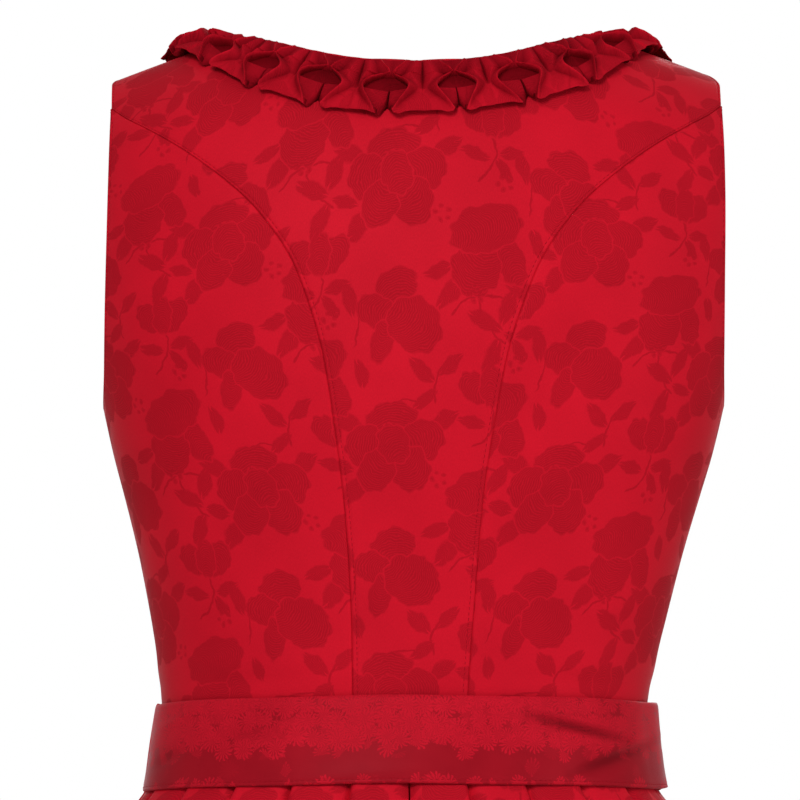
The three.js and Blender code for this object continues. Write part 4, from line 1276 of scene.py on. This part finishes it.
def on_front(along, z, lift):
    """Places on the apron's front, along the waist from the bow's middle."""
    shape = np.broadcast_shapes(np.shape(along), np.shape(z), np.shape(lift))
    along, z, lift = (np.broadcast_to(value, shape).ravel() for value in (along, z, lift))
    _, _, length = ring(OUTER, np.array([0.0]), z)
    points, normals, _ = ring(OUTER, BOW["share"] + along[:, None] / length, z)
    points = points + normals * lift[:, None, None]
    return points.reshape(*shape, 3), normals.reshape(*shape, 3)


def clear_of(z):
    return blend(KNOT_LIFT, 17.5, ease((BAND_BOTTOM + 6 - z) / 60))


def bow_knot():
    u, w = np.meshgrid(np.linspace(-1, 1, 33), np.linspace(1, -1, 31))
    dome = np.sqrt(np.maximum(1 - 0.8 * u * u, 0)) * np.sqrt(np.maximum(1 - 0.6 * w * w, 0))
    pinch = 1 - 0.12 * np.cos(w * 1.4)
    folds = 0.9 * np.sin(u * 7 + 0.8 * w) * (1 - u * u) + 0.5 * np.sin(u * 13 - w) * (1 - u * u)
    lift = KNOT_LIFT + 1 + (KNOT["thick"] - 2) * dome + folds
    points, normals = on_front(u * KNOT["half"] * pinch, BOW["z"] + w * KNOT["tall"], lift)
    return points, normals, np.stack([u * 22, w * 24 + 36], -1)


def bow_loop(way):
    w, t = np.meshgrid(np.linspace(1, -1, 23), np.linspace(0, 1, 49), indexing="ij")
    angle = blend(0.12, 2 * math.pi - 0.12, t)
    reach = 0.5 - 0.5 * np.cos(angle)
    tall = blend(13, BOW["half"] + 3, ease(reach * 1.6))
    z = BOW["z"] + w * tall - 26 * reach ** 1.5
    bulge = 8 * np.sin(angle) * np.minimum(1, 0.35 + reach * 1.5)
    pleats = 1.1 * np.sin(w * 9 + way) * (1 - ease(reach * 1.7)) + 0.5 * np.sin(w * 4 + reach * 5)
    lift = clear_of(z) + 7.6 + 1.4 * reach + bulge + pleats * np.sign(np.sin(angle)) * 0.7
    points, _ = on_front(way * (KNOT["half"] + 0.5 + BOW["loop"] * reach), z, lift)
    ahead = np.gradient(points, axis=1)
    out = np.cross(ahead, np.array([0, 0, 1.0])) * (1 if way < 0 else -1)
    out /= np.linalg.norm(out, axis=-1, keepdims=True)
    return points, out, np.stack([angle * 40, w * tall + 24], -1)


def bow_tail(way, length):
    t, b = np.meshgrid(np.linspace(0, 1, 60), np.linspace(0, 1, 17), indexing="ij")
    w = 2 * b - 1
    half = blend(9, BOW["half"], ease(t * 3))
    z = BOW["z"] - KNOT["tall"] - 1 - length * t + w * way * 14 * ease((t - 0.75) * 4)
    along = way * (4 + 34 * t ** 0.7) + w * half + way * 7
    folds = 2.4 * np.cos(w * 1.5) + 1.3 * np.sin(w * 5 + t * 4) * (1 - ease(t * 2.4))
    folds = folds + 0.8 * np.sin(t * 9 + w * 2)
    points, normals = on_front(along, z, clear_of(z) + (1.2 if way > 0 else 3.6) + folds)
    return points, normals, np.stack([z + 70 * way, w * half + 24], -1)


apron_sheet("bow_knot", as_sheet(*bow_knot()), KNOT_WALL)
for way, word in ((-1, "left"), (1, "right")):
    apron_sheet(f"bow_loop_{word}", as_sheet(*bow_loop(way)))
for way, word, length in ((-1, "left", 1.0), (1, "right", 0.9)):
    apron_sheet(f"bow_tail_{word}", as_sheet(*bow_tail(way, BOW["tail"] * length)))

# All stitches in one piece.
points, faces = join_shapes(stitches)
seams = make_object("dirndl_stitches", points, faces, points[:, :2], thread, sharp=0)
add_piece([], seams)


# Camera, floor and light. The photo shows WIDTH_AT millimetres across at the dress.
AMBIENT = 0.33
WIDTH_AT, DISTANCE, SENSOR = 436.0, 3200.0, 36.0
FLOOR = -1.102
scene = bpy.context.scene
camera_data = bpy.data.cameras.new("camera")
camera_data.sensor_width = SENSOR
camera_data.lens = SENSOR * DISTANCE / WIDTH_AT
camera_data.clip_end = 50.0
camera = bpy.data.objects.new("camera", camera_data)
scene.collection.objects.link(camera)
scene.camera = camera
yaw, roll = math.radians(0.2), math.radians(0.22)
look = np.array([6.8, 0.0, -203.0])
stand = np.array([look[0] + DISTANCE * math.sin(yaw), DISTANCE * math.cos(yaw), -520.0])
ahead = look - stand
ahead /= np.linalg.norm(ahead)
right = np.cross(ahead, [0, 0, 1.0])
right /= np.linalg.norm(right)
up = np.cross(right, ahead)
right, up = right * math.cos(roll) - up * math.sin(roll), up * math.cos(roll) + right * math.sin(roll)
matrix = np.eye(4)
matrix[:3, 0], matrix[:3, 1], matrix[:3, 2], matrix[:3, 3] = right, up, -ahead, stand * MM
camera.matrix_world = Matrix(matrix.tolist())

bpy.ops.mesh.primitive_plane_add(size=30, location=(0, 0, FLOOR))
floor = bpy.context.object
floor.name = "floor"
pale, net = new_material("floor_look")
shader = net.node("ShaderNodeBsdfPrincipled", {"Base Color": (0.86, 0.86, 0.86, 1), "Roughness": 0.8})
net.node("ShaderNodeOutputMaterial", {0: shader.outputs[0]})
floor.data.materials.append(pale)

world = bpy.data.worlds.new("studio")
scene.world = world
world.use_nodes = True
world.node_tree.nodes.clear()
net = Net(world.node_tree)
place_on_sky = net.node("ShaderNodeTexCoord").outputs["Generated"]
facing = net.node("ShaderNodeVectorMath", {0: place_on_sky, 1: (0.0, -1.0, 0.0)}, operation="DOT_PRODUCT")
behind = net.node(
    "ShaderNodeMapRange",
    {0: facing.outputs["Value"], 1: 0.8, 2: 0.95, 3: AMBIENT, 4: 1.0},
    interpolation_type="SMOOTHSTEP",
)
sky = net.node("ShaderNodeBackground", {"Color": (1, 1, 1, 1), "Strength": behind.outputs[0]})
net.node("ShaderNodeOutputWorld", {0: sky.outputs[0]})
scene.view_settings.view_transform = "Standard"


def area_light(name, at, size, power_watts, target=(0, 0, -0.25)):
    data = bpy.data.lights.new(name, "AREA")
    data.shape = "DISK"
    data.size, data.energy = size, power_watts
    lamp = bpy.data.objects.new(name, data)
    scene.collection.objects.link(lamp)
    lamp.location = at
    way = np.array(target) - np.array(at)
    lamp.rotation_euler = Vector(way).to_track_quat("-Z", "Y").to_euler()


area_light("key", (0.45, 2.45, 0.87), 0.9, 34)
area_light("side", (-2.2, 1.6, 0.1), 1.2, 14)
area_light("front_fill", (-0.8, -2.6, 0.9), 1.5, 16)
